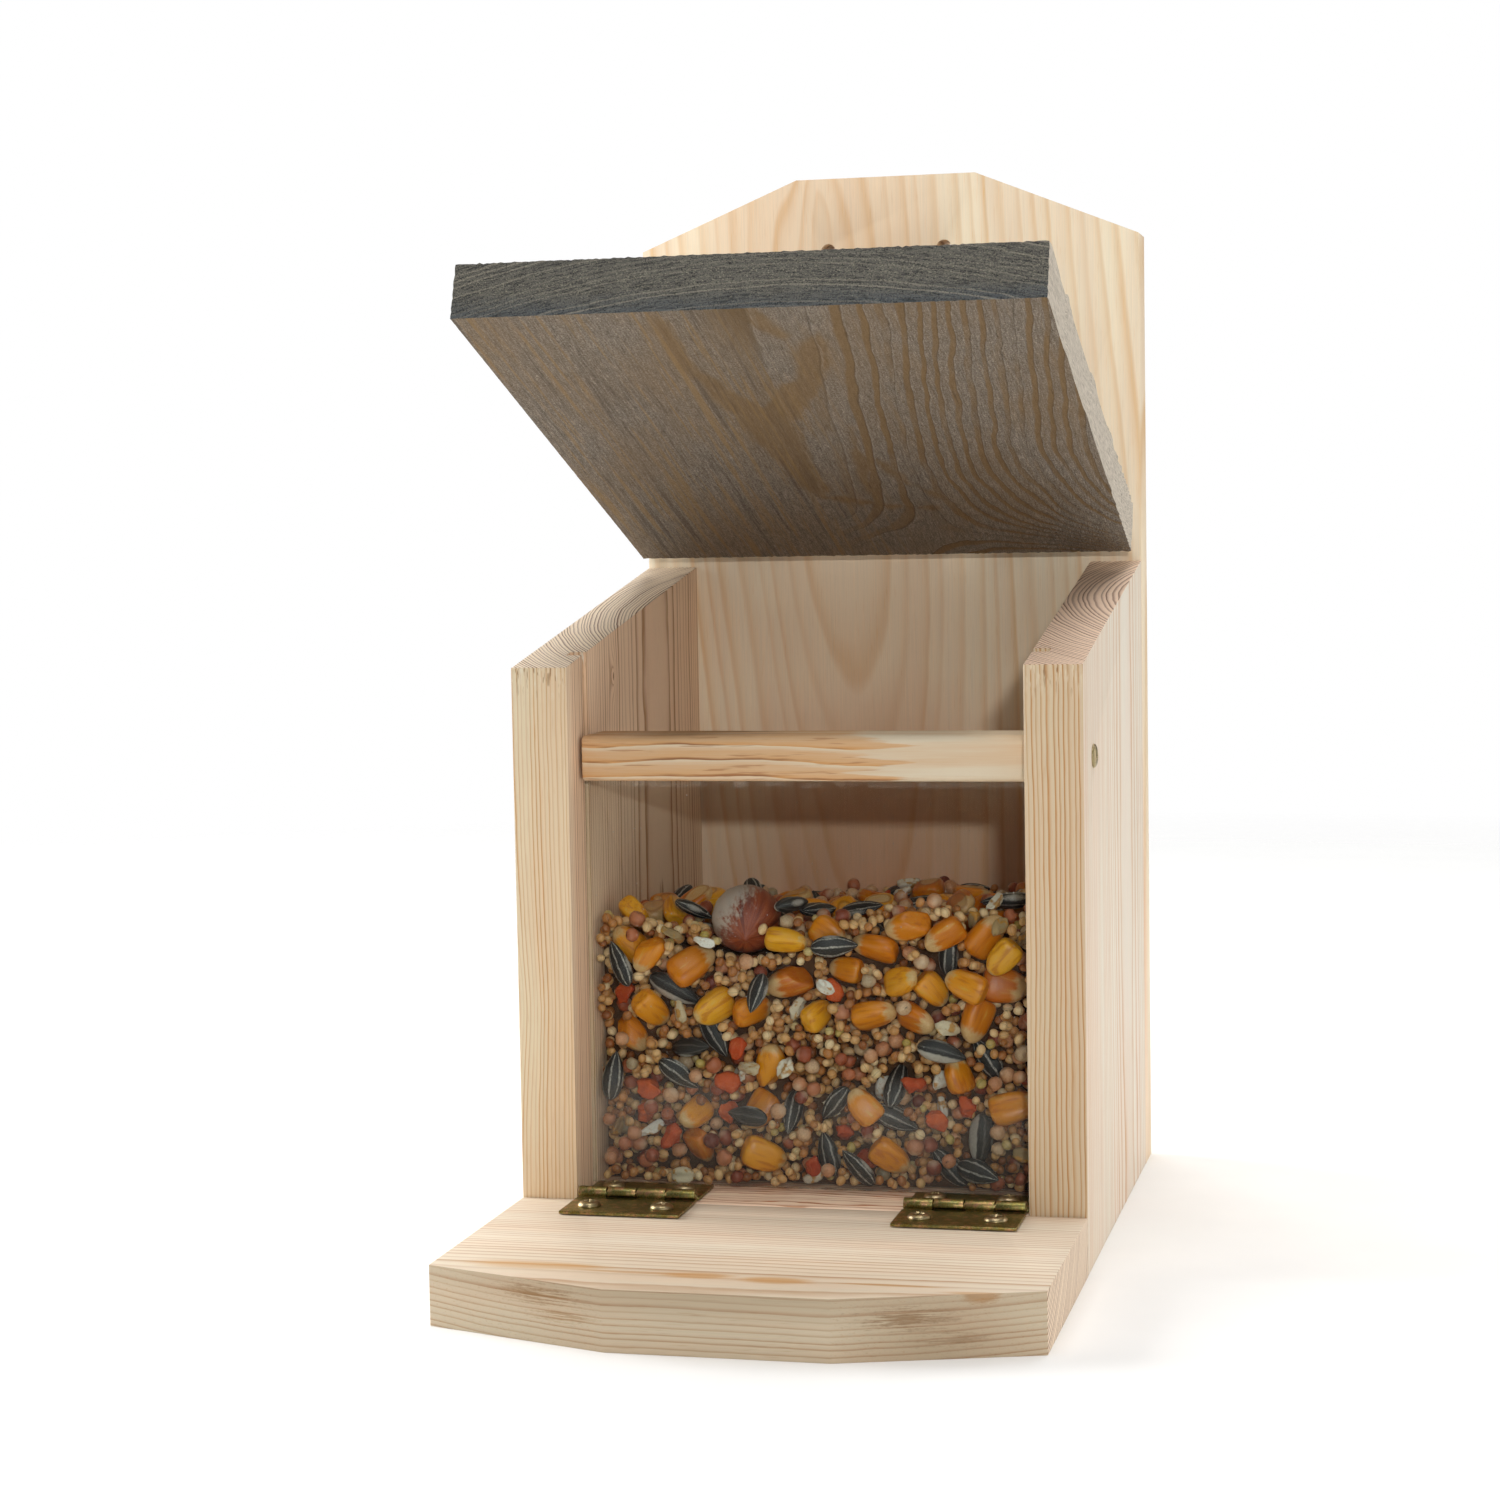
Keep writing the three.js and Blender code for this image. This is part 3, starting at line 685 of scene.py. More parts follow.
def lid_worn(points):
    """How far the stain is worn off at each point, from 0 to 1."""
    x, y = points.T[:2]
    from_rear = LID_HIGH_MM[1] - y
    ragged = 3.0 * perlin(points, (0.16, 0.05, 0.1), 5.0) + 1.5 * perlin(points, (0.5, 0.16, 0.5), 3.0)
    gap = np.minimum.reduce([gap_to_path(x, from_rear, path) for path in LID_WORN_PATHS])
    return 1 - step(gap + ragged, -1.6, 1.6)


def step(value, low, high):
    part = np.clip((value - low) / (high - low), 0, 1)
    return part * part * (3 - 2 * part)


def lid_relief(points, rings, carved, torn, worn, on_end):
    """How far each point is raised, in mm: the rings' ridges and torn fibres, or the sawn end's fuzz."""
    phase = rings % 1.0
    broken = 0.75 + 0.5 * perlin(points, (0.08, 0.05, 0.08), 6.0)
    band = step(phase, 0.42, 0.5) * (1 - 0.8 * step(phase, 0.55, 1.0)) * np.clip(broken, 0.2, 1.2)
    fuzz = perlin(points, (0.9, 0.5, 0.9), 2.0)
    wide = 0.34 * (band * 1.5 - 0.7) * carved + (0.05 + 0.16 * torn) * fuzz - 0.1 * worn
    return np.where(on_end, 0.25 * fuzz, wide)


def add_lid_board():
    low = np.array(LID_LOW_MM) + LID_INSET_MM
    high = np.array(LID_HIGH_MM) - LID_INSET_MM
    points, quads = grid_box(low, high, LID_CELL_MM)
    x, y = points.T[:2]
    looks = {
        "rings": lid_rings(points),
        "carved": 0.1 + 0.9 * step(x + 9 * perlin(points, (0.03, 0.03, 0.03), 4.0), -16.0, 16.0),
        "torn": np.exp(-((x - 64.0) / 15.0) ** 2 - ((LID_HIGH_MM[1] - y - 38.0) / 22.0) ** 2),
        "worn": lid_worn(points),
    }
    outward = 1.0 * np.isclose(points, high, atol=0.01) - np.isclose(points, low, atol=0.01)
    raised = lid_relief(points, **looks, on_end=outward[:, 1] != 0)
    moved = points + outward * raised[:, None]
    name = "visual_lid_board"
    board = new_object(name, smooth_mesh(name, moved * MM, quads, looks, 50), grey_stained())
    board.matrix_world = lid_frame()
    place(board, "lid", "pine_grey", "lid_board")


def lid_end_colour(g, x, y, z, grains):
    """The sawn end: dark slate, with the rings as paler arcs and ragged pale fibre ends."""
    radius = ((x - LID_END_PITH_MM[0]) ** 2 + (z - LID_END_PITH_MM[1]) ** 2).root()
    wander = g.noise((x * 0.06, z * 0.3, 0.0), detail=2.0)
    phase, year = g.phase_and_year(radius * LID_END_RINGS_PER_MM + wander * 1.2)
    arcs = phase.ramp(0.62, 0.8) * phase.ramp(1.0, 0.9)
    shown = year.ramp(0.1, 0.8, 0.05, 0.6) * grains.ramp(0.36, 0.54, 0.25, 1.0)
    flecks = g.noise((x * 1.6, y * 2.0, z * 3.4), scale=1.2, detail=3.0, roughness=0.75)
    near_middle = abs(z + 8.0).ramp(8.0, 1.0, 0.3, 1.0)
    sawn = g.noise((x * 0.3, y * 2.0, radius * 3.2), detail=4.0, roughness=0.75)
    colour = g.coated(
        g.mix((z + wander * 6.0).ramp(-8.0, -14.5), "#6b6860", "#575c5f"),
        (sawn.ramp(0.5, 0.4, 0.0, 0.8), "#2d2f31"),
        (grains.ramp(0.47, 0.34, 0.0, 0.9), "#24262a"),
        (arcs * shown, "#a39b8a"),
        (flecks.ramp(0.56, 0.66) * near_middle * 0.85, "#a8a28c"),
    )
    return colour, flecks


def grey_stained():
    """Rough-sawn wood under a thin grey stain, worn to ochre where it is smooth."""
    g = Graph("pine_grey")
    x, y, z = g.places_mm()
    rings, carved, torn, worn = map(g.attribute, ("rings", "carved", "torn", "worn"))
    phase, year = g.phase_and_year(rings)
    facing = g.normals()

    fibres = g.noise((x * 2.8, y * 0.2, z * 2.8), detail=4.0, roughness=0.7)
    grains = g.noise((x, y, z), scale=2.6, detail=2.0, roughness=0.75)
    cloud = g.noise((x * 0.05, y * 0.022, z * 0.05), detail=3.0)
    lanes = g.noise((x * 0.55, y * 0.012, z * 0.55), detail=4.0, roughness=0.65)
    cracks = g.noise((x * 1.5, y * 0.06, z * 1.5), detail=2.0)

    flat = 1.0 - carved * 0.8
    ochre_year = (cloud + year * 0.35).ramp(0.44, 0.7)
    smooth_bands = phase.ramp(0.0, 0.1) * phase.ramp(0.46, 0.4) * ochre_year * carved
    # Painted highlight along the ridges' edges, and painted shade in the troughs at their feet.
    painted_ridge_highlight = phase.ramp(0.42, 0.47) * phase.ramp(0.56, 0.5) * carved * fibres.ramp(0.4, 0.6)
    painted_trough_shade = phase.ramp(0.36, 0.41) * phase.ramp(0.46, 0.42) * carved
    end_colour, flecks = lid_end_colour(g, x, y, z, grains)
    on_end = abs(facing[1]).ramp(0.6, 0.8)
    grey_tones = (0.34, "#4d443a"), (0.46, "#756b5f"), (0.55, "#8a8073"), (0.66, "#b6ab9b")
    pale_tones = (0.3, "#8f8679"), (0.48, "#c8bdad"), (0.7, "#e2d8c8")
    colour = g.coated(
        g.colours(fibres * 0.45 + grains * 0.55, *grey_tones),
        (cloud.ramp(0.4, 0.65, 0.0, 0.35), "#80694c"),
        (g.most(smooth_bands * 0.8, worn * 0.72), g.mix(fibres * 0.6 + grains * 0.4, "#5e4a32", "#94774f")),
        (lanes.ramp(0.53, 0.62, 0.0, 0.6) * flat, "#94784e"),
        (lanes.ramp(0.44, 0.36, 0.0, 0.5) * flat, "#4f463b"),
        (painted_ridge_highlight * 0.3, "#a9a092"),
        (painted_trough_shade * 0.45, "#40372d"),
        (grains.ramp(0.4, 0.34) * torn.ramp(0.1, 0.6, 0.12, 0.85), "#2c2822"),
        (cracks.ramp(0.3, 0.24, 0.0, 0.45), "#3a332b"),
        (abs(facing[0]).ramp(0.6, 0.8), g.colours(fibres, *pale_tones)),
        (on_end, end_colour),
    )
    return g.principled(
        Base_Color=colour,
        Roughness=grains.ramp(0.3, 0.7, 0.95, 0.8),
        Normal=g.bump(fibres * 0.5 + grains * 0.7 + flecks * on_end * 1.2, 0.8, 0.5),
        Specular_IOR_Level=0.2,
    )


# Hinges and screws, each leaf in its own frame: pin at the origin along X, leaf towards +Y, screws facing +Z

HINGE_LENGTH_MM = 32.0
KNUCKLES = 4
KNUCKLE_GAP_MM = 0.4
BARREL_RADIUS_MM = 1.7
PLATE_THICKNESS_MM = 0.8
PLATE_FROM_MM, PLATE_TO_MM = 2.2, 18.4
PIN_RADIUS_MM = 0.8
SCREW_FROM_PIN_MM = 11.5
SCREW_SPACING_MM = 19.5
SEAM_ANGLE = math.radians(-12)
ROUND_STEPS = 40

# Half outlines of the screw heads in millimetres, as (radius, height) from the seat up to the middle
PAN_HEAD_MM = [
    (0.0, -0.2), (2.75, -0.2), (3.05, 0.1), (3.05, 0.42), (2.88, 0.78), (2.5, 1.12), (1.9, 1.36), (0.0, 1.5),
]
SIDE_HEAD_MM = [
    (0.0, -0.2), (2.9, -0.2), (3.15, 0.05), (3.12, 0.35), (2.8, 0.72), (2.2, 0.98), (1.4, 1.08), (0.0, 1.1),
]
SUNK_HEAD_MM = [(0.0, -3.0), (1.7, -3.0), (3.5, -0.4), (3.6, -0.25), (3.5, -0.12), (0.0, -0.1)]


def extruded(bm, outline, start, end):
    """A closed solid from an outline in (y, z), pulled along x. All in millimetres."""
    rows = [[bm.verts.new(Vector((x, y, z)) * MM) for y, z in outline] for x in (start, end)]
    count = len(outline)
    for i in range(count):
        after = (i + 1) % count
        bm.faces.new((rows[0][i], rows[0][after], rows[1][after], rows[1][i]))
    bm.faces.new(rows[0][::-1])
    bm.faces.new(rows[1])


def knuckle_outline():
    """The end of a leaf, rolled round its pin until the seam."""
    inner = BARREL_RADIUS_MM - PLATE_THICKNESS_MM
    angles = np.linspace(-math.pi / 2, SEAM_ANGLE - 2 * math.pi, ROUND_STEPS)
    outer = [(math.cos(a) * BARREL_RADIUS_MM, math.sin(a) * BARREL_RADIUS_MM) for a in angles]
    back = [(math.cos(a) * inner, math.sin(a) * inner) for a in angles[::-1]]
    root = PLATE_FROM_MM + 1.0
    return [(root, -BARREL_RADIUS_MM), *outer, *back, (root, -inner)]


def leaf_mesh(material):
    """A leaf: a flat plate and every second knuckle."""
    bm = bmesh.new()
    half = HINGE_LENGTH_MM / 2
    low, high = -BARREL_RADIUS_MM, PLATE_THICKNESS_MM - BARREL_RADIUS_MM
    plate = [(PLATE_FROM_MM, low), (PLATE_TO_MM, low), (PLATE_TO_MM, high), (PLATE_FROM_MM, high)]
    extruded(bm, plate, -half, half)
    pitch = HINGE_LENGTH_MM / KNUCKLES
    for slot in range(0, KNUCKLES, 2):
        start = -half + slot * pitch + KNUCKLE_GAP_MM / 2
        extruded(bm, knuckle_outline(), start, start + pitch - KNUCKLE_GAP_MM)
    piece = eased(new_object("leaf", to_mesh("leaf", bm)), 0.14, 2)
    return taken_mesh(piece, material)


def revolved(bm, profile, steps=ROUND_STEPS):
    """A closed turned solid about z from (radius, height) points that start and end on the axis."""
    ends = [bm.verts.new(Vector((0, 0, profile[i][1])) * MM) for i in (0, -1)]
    ways = [(math.cos(a), math.sin(a)) for a in (2 * math.pi * i / steps for i in range(steps))]
    rows = [
        [bm.verts.new(Vector((a * radius, b * radius, height)) * MM) for a, b in ways]
        for radius, height in profile[1:-1]
    ]
    for i in range(steps):
        after = (i + 1) % steps
        bm.faces.new((ends[0], rows[0][after], rows[0][i]))
        for low, high in zip(rows, rows[1:]):
            bm.faces.new((low[i], low[after], high[after], high[i]))
        bm.faces.new((ends[1], rows[-1][i], rows[-1][after]))


def head_mesh(name, profile, reach, depth, material):
    """A screw head with its cross recess, which reaches out and down by reach and depth in mm."""
    bm = bmesh.new()
    revolved(bm, profile)
    head = new_object(name, to_mesh(name, bm))
    top = profile[-1][1]
    for turn in (0, 1):
        bm = bmesh.new()
        cross_blade(bm, top, depth, reach, turn)
        blade = new_object("blade", to_mesh("blade", bm))
        cut = head.modifiers.new("recess", "BOOLEAN")
        cut.object = blade
        cut.operation = "DIFFERENCE"
        cut.solver = "EXACT"
        with_modifiers_applied(head)
        bpy.data.objects.remove(blade)
    return taken_mesh(eased(head, 0.07, 2, 25), material)


def cross_blade(bm, top, depth, reach, turn):
    """One of the two tapered blades that cut the recess."""
    corners = []
    for height, long, wide in ((top + 0.4, reach * 1.12, 0.5), (top - depth, reach * 0.4, 0.28)):
        for a, b in ((-1, -1), (1, -1), (1, 1), (-1, 1)):
            x, y = a * long, b * wide
            corners.append(bm.verts.new(Vector((y, x, height) if turn else (x, y, height)) * MM))
    bm.faces.new(corners[:4])
    bm.faces.new(corners[4:])
    for i in range(4):
        bm.faces.new((corners[i], corners[(i + 1) % 4], corners[4 + (i + 1) % 4], corners[4 + i]))


def taken_mesh(piece, material):
    """The piece's mesh with a material. The piece itself goes."""
    mesh = piece.data
    bpy.data.objects.remove(piece)
    return finish_mesh(mesh, material)


def zinc_plated(name, clouds, specks, tones, spots, rough, bump):
    """Zinc plate in cloudy tones with spots.

    clouds and specks: a noise's scale, detail and roughness
    spots: (the ramp that the specks go through, colour)
    rough: the roughness between specks and on them
    bump: its strength and how far it stands out in mm
    """
    g = Graph(name)
    place_mm = g.places_mm()
    cloud = g.noise(place_mm, *clouds)
    speck = g.noise(place_mm, *specks)
    coats = [(speck.ramp(*ramp), colour) for ramp, colour in spots]
    return g.principled(
        Base_Color=g.coated(g.colours(cloud, *tones), *coats),
        Metallic=1.0,
        Roughness=speck.ramp(0.35, 0.65, *rough),
        Normal=g.bump(speck, *bump),
    )


def zinc_yellow():
    tones = (0.3, "#6b6039"), (0.41, "#91803f"), (0.49, "#7a7b4c"), (0.57, "#b0925a"), (0.68, "#c08e76")
    spots = ((0.5, 0.66, 0.0, 0.8), "#3d3827"), ((0.42, 0.32, 0.0, 0.6), "#c3b98a")
    return zinc_plated(
        "zinc_yellow", (0.45, 4.0, 0.7), (3.4, 3.0, 0.75), tones, spots,
        rough=(0.34, 0.52), bump=(0.25, 0.08),
    )


def bright_zinc():
    tones = (0.35, "#97865f"), (0.5, "#ac9d78"), (0.65, "#bba483")
    spots = [((0.54, 0.7, 0.0, 0.7), "#57503c")]
    return zinc_plated(
        "zinc_screws", (0.6, 3.0, 0.6), (4.5, 2.0, 0.7), tones, spots,
        rough=(0.32, 0.46), bump=(0.2, 0.06),
    )


def add_part(name, mesh, matrix, body, slot, node):
    piece = new_object(name, mesh)
    piece.matrix_world = matrix
    place(piece, body, slot, node)
    return piece


def add_hinges(zinc, bright):
    leaf = leaf_mesh(zinc)
    head = head_mesh("pan_head", PAN_HEAD_MM, 1.75, 1.15, bright)
    pin = pin_mesh(zinc)
    seat = PLATE_THICKNESS_MM - BARREL_RADIUS_MM
    half_turn = Matrix.Rotation(math.pi, 4, "Z")
    kinds = [
        ("platform", "floor_leaf", "box", Matrix.Identity(4)),
        ("platform", "platform_leaf", "platform", half_turn),
        ("lid", "back_leaf", "box", Matrix.Rotation(math.pi / 2, 4, "X")),
        ("lid", "lid_leaf", "lid", Matrix.Rotation(-LID_TILT, 4, "X") @ half_turn),
    ]
    # Every screw is driven to an angle of its own
    drive = 0.4
    for side in ("left", "right"):
        for kind, leaf_name, body, turn in kinds:
            hinge = f"{kind}_hinge_{side}"
            low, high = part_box(hinge + "_pin")
            middle = Matrix.Translation((low + high) / 2)
            node = f"{hinge}_{leaf_name}"
            add_part("visual_" + node, leaf, middle @ turn, body, "zinc_yellow", node)
            for i, way in enumerate((-1, 1)):
                drive += 1.1
                spot = Vector((way * SCREW_SPACING_MM / 2, SCREW_FROM_PIN_MM, seat)) * MM
                screw = middle @ turn @ Matrix.Translation(spot) @ Matrix.Rotation(drive, 4, "Z")
                screw_node = f"{node}_screw_{i + 1}"
                add_part("visual_" + screw_node, head, screw, body, "zinc_yellow", screw_node)
            if leaf_name in ("floor_leaf", "back_leaf"):
                add_part(f"visual_{hinge}_pin", pin, middle, "box", "zinc_yellow", hinge + "_pin")


def pin_mesh(material):
    bm = bmesh.new()
    half, radius = HINGE_LENGTH_MM / 2, PIN_RADIUS_MM
    profile = [(0, -half), (radius * 0.7, -half), (radius, -half + 0.3)]
    profile += [(radius, half - 0.3), (radius * 0.7, half), (0, half)]
    revolved(bm, profile)
    bmesh.ops.rotate(bm, verts=bm.verts, matrix=Matrix.Rotation(math.pi / 2, 3, "Y"))
    return finish_mesh(to_mesh("hinge_pin", bm, 40), material)


def add_body_screws(bright):
    side_head = head_mesh("side_head", SIDE_HEAD_MM, 1.8, 1.2, bright)
    sunk_head = head_mesh("sunk_head", SUNK_HEAD_MM, 1.9, 1.6, bright)
    drive = 0.2
    for side, way in (("left", -1), ("right", 1)):
        node = "crossbar_screw_" + side
        low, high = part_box(node)
        middle = (low + high) / 2
        board_low, board_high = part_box("side_panel_" + side)
        seat = board_high.x if way > 0 else board_low.x
        turn = Matrix.Rotation(way * math.pi / 2, 4, "Y") @ Matrix.Rotation(drive + 0.5, 4, "Z")
        spot = Matrix.Translation((seat, middle.y, middle.z))
        add_part("visual_" + node, side_head, spot @ turn, "box", "zinc_yellow", node)
        for row in (f"back_screw_{side}_lower", f"back_screw_{side}_upper", f"back_screw_floor_{side}"):
            drive += 0.9
            low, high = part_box(row)
            spot = Matrix.Translation(((low.x + high.x) / 2, high.y, (low.z + high.z) / 2))
            turn = Matrix.Rotation(-math.pi / 2, 4, "X") @ Matrix.Rotation(drive, 4, "Z")
            add_part("visual_" + row, sunk_head, spot @ turn, "box", "zinc_yellow", row)


# Window

# How much of what meets it square the sheet mirrors
SHEET_MIRROR = 0.004


def clear_sheet():
    """Clear plastic with a little dust on it, and a pale haze low down painted in as a reflection."""
    g = Graph("clear_sheet")
    place_mm = g.places_mm()
    up = place_mm[2]
    # The same from outside and from within the sheet, because the clear shader bends no light
    facing = g.value("ShaderNodeLayerWeight", {"Blend": 0.5}, "Facing")
    mirrored = facing ** 5.0 * (1.0 - SHEET_MIRROR) + SHEET_MIRROR
    off_ends = abs(g.normals()[0]).ramp(0.5, 0.8, 1.0, 0.0)
    clear = g.shader("BsdfTransparent", Color="#f7fafa")
    sheet = g.mix_shaders(mirrored * off_ends, clear, g.shader("BsdfGlossy", Roughness=0.02))

    cells = g.add("ShaderNodeTexVoronoi", {"Vector": place_mm, "Scale": 0.5})
    chosen, size, _ = g.split(Value(g, cells.outputs["Color"]))
    kept = g.math("GREATER_THAN", up.ramp(60.0, 115.0, 0.12, 0.6), chosen)
    within = g.math("LESS_THAN", Value(g, cells.outputs["Distance"]), size * 0.07 + 0.03)
    broad = g.noise(place_mm, scale=0.03, detail=3.0).ramp(0.3, 0.65, 0.4, 1.3)
    # Painted reflection: a pale haze over the lower part of the sheet.
    painted_reflection_haze = up.ramp(48.0, 38.0) * up.ramp(40.0, 16.0, 0.05, 0.02) * broad
    patchy = g.noise(place_mm, scale=0.25, detail=3.0).ramp(0.45, 0.7, 0.0, 0.16)
    # dust also carries the painted reflection haze.
    dust = g.most(within * kept * 0.55, painted_reflection_haze, up.ramp(122.4, 123.8) * patchy)
    return g.surfaced(g.mix_shaders(dust, sheet, g.shader("BsdfDiffuse", Color="#e8e6e0")))


def add_window():
    low, high = [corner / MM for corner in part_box("front_window")]
    outline = [(low.y, low.z), (high.y, low.z), (high.y, high.z), (low.y, high.z)]
    bm = bmesh.new()
    extruded(bm, outline, low.x, high.x)
    name = "visual_front_window"
    sheet = eased(new_object(name, to_mesh(name, bm)), 0.25, 2)
    finish_mesh(sheet.data, clear_sheet())
    place(sheet, "box", "clear_sheet", "front_window")


# Feed

FEED_SEED = 20
MILLET, SORGHUM, MAIZE = "millet", "sorghum", "maize"
SUNFLOWER, RED_BIT, FLAKE = "sunflower", "red_bits", "flakes"

# half_mm: half lengths. tilt: how far off flat it may lie, in degrees. steps: how fine its sphere is.
# variants: how many different shapes it has.
GRAINS = {
    MILLET: {"half_mm": (1.5, 1.27, 1.18), "tilt": 180, "steps": 2, "variants": 3},
    SORGHUM: {"half_mm": (2.2, 2.1, 1.9), "tilt": 180, "steps": 2, "variants": 3},
    MAIZE: {"half_mm": (6.2, 4.9, 3.1), "tilt": 60, "steps": 3, "variants": 8},
    SUNFLOWER: {"half_mm": (7.0, 3.4, 2.0), "tilt": 50, "steps": 3, "variants": 4},
    RED_BIT: {"half_mm": (3.7, 3.2, 2.6), "tilt": 60, "steps": 3, "variants": 6},
    FLAKE: {"half_mm": (3.6, 2.3, 1.2), "tilt": 50, "steps": 3, "variants": 6},
}
# How many of each kind are dropped, in the order of pouring: against the window along the heap's rim,
# anywhere against it and behind those, and then on top of the heap
WINDOW_RIM = {MAIZE: 92, SUNFLOWER: 12, RED_BIT: 6, FLAKE: 5, SORGHUM: 4}
WINDOW_RIM_MM = 21.0
WINDOW_FIRST = {MAIZE: 22, SUNFLOWER: 30, RED_BIT: 18, FLAKE: 20, SORGHUM: 60}
WINDOW_REST = {MILLET: 5200, SORGHUM: 900, MAIZE: 40, SUNFLOWER: 50, RED_BIT: 24, FLAKE: 24}
TOP_UNDER = {MILLET: 700, SORGHUM: 260, MAIZE: 60, SUNFLOWER: 50, RED_BIT: 16, FLAKE: 16}
TOP_LAST = {MAIZE: 300, SUNFLOWER: 44, RED_BIT: 7, FLAKE: 8, SORGHUM: 30}
MOST_GRAINS_IN_ONE = 2000
FEED_STEP_MM = 0.5
WINDOW_LAYER_MM = 10.0
TOP_LAYER_MM = 8.0
CORE_INSET_MM = 9.0
OUT_OF_REACH_MM = 1000.0


def unit_sphere(steps):
    """Points and triangles of an icosphere."""
    bm = bmesh.new()
    bmesh.ops.create_icosphere(bm, subdivisions=steps, radius=1.0)
    points = np.array([v.co for v in bm.verts])
    faces = np.array([[v.index for v in f.verts] for f in bm.faces])
    bm.free()
    return points, faces


def chipped(points, rng, cuts, nearest):
    """Points pushed in to random flat breaks, none nearer the middle than nearest."""
    points = points.copy()
    for _ in range(cuts):
        way = rng.normal(size=3)
        way /= np.linalg.norm(way)
        over = points @ way - rng.uniform(nearest, 1.0)
        points -= np.outer(np.maximum(over, 0.0), way)
    return points


def maize_points(points, rng):
    """x runs from the pointed tip to the crown, z through the side that holds the germ."""
    x, y, z = points.T.copy()
    along = np.clip((x + 1) / 2, 0, 1)
    points[:, 0] = np.sign(x) * np.abs(x) ** 0.72
    points[:, 1] = np.sign(y) * np.abs(y) ** 0.66 * (0.4 + 0.6 * along ** 0.5)
    points[:, 2] = np.sign(z) * np.abs(z) ** 0.66 * (0.55 + 0.45 * along ** 0.6)
    dent = np.exp(-(y ** 2) / 0.3 - (z ** 2) / 0.1) * (x > 0)
    points[:, 0] -= rng.uniform(0.06, 0.2) * dent
    germ = np.exp(-((x + 0.15) ** 2) / 0.22 - (y ** 2) / 0.09) * (z > 0)
    points[:, 2] -= 0.24 * germ
    points[:, 1] += rng.uniform(-0.12, 0.12) * (1 - x ** 2)
    return chipped(points, rng, 3, 0.5) if rng.random() < 0.35 else points


def grain_points(kind, sphere, rng):
    """One variant's points, about 1 from the middle on each axis, long way on x and thin way on z."""
    points = sphere.copy()
    x, y = sphere.T[:2]
    if kind == MILLET:
        points[:, 1:] *= (1 - 0.14 * x ** 2)[:, None]
    elif kind == SORGHUM:
        points[:, 0] = np.where(x < -0.82, -0.82 - (x + 0.82) * 0.8, x)
    elif kind == MAIZE:
        points = maize_points(points, rng)
    elif kind == SUNFLOWER:
        points[:, 1:] *= (np.clip((1 + x) / 2, 0, 1) ** 0.34 * (1.16 - 0.12 * x))[:, None]
        points[:, 2] += 0.04 * np.cos(y * 12) * (1 - x ** 2)
    elif kind == RED_BIT:
        points = chipped(points, rng, 12, 0.45)
        points += 0.09 * np.sin(points[:, [1, 2, 0]] * 6 + rng.uniform(0, 6))
        points += rng.normal(0, 0.02, points.shape)
    else:
        points = chipped(points, rng, 8, 0.35)
        points[:, 2] += 0.5 * (x ** 2 - 0.4) + 0.3 * np.sin(y * 5 + rng.uniform(0, 6))
        points += rng.normal(0, 0.03, points.shape)
    return points


def random_turn(rng, tilt, up):
    """A turn that lays a grain's thin way along up, give or take tilt degrees, and spins it freely."""
    spin = Matrix.Rotation(rng.uniform(0, 2 * math.pi), 3, "Z")
    heading = rng.uniform(0, 2 * math.pi)
    lean_axis = Vector((math.cos(heading), math.sin(heading), 0))
    lean = Matrix.Rotation(math.radians(rng.uniform(0, tilt)), 3, lean_axis)
    stand = Vector((0, 0, 1)).rotation_difference(Vector(up)).to_matrix()
    return np.array(stand @ lean @ spin)


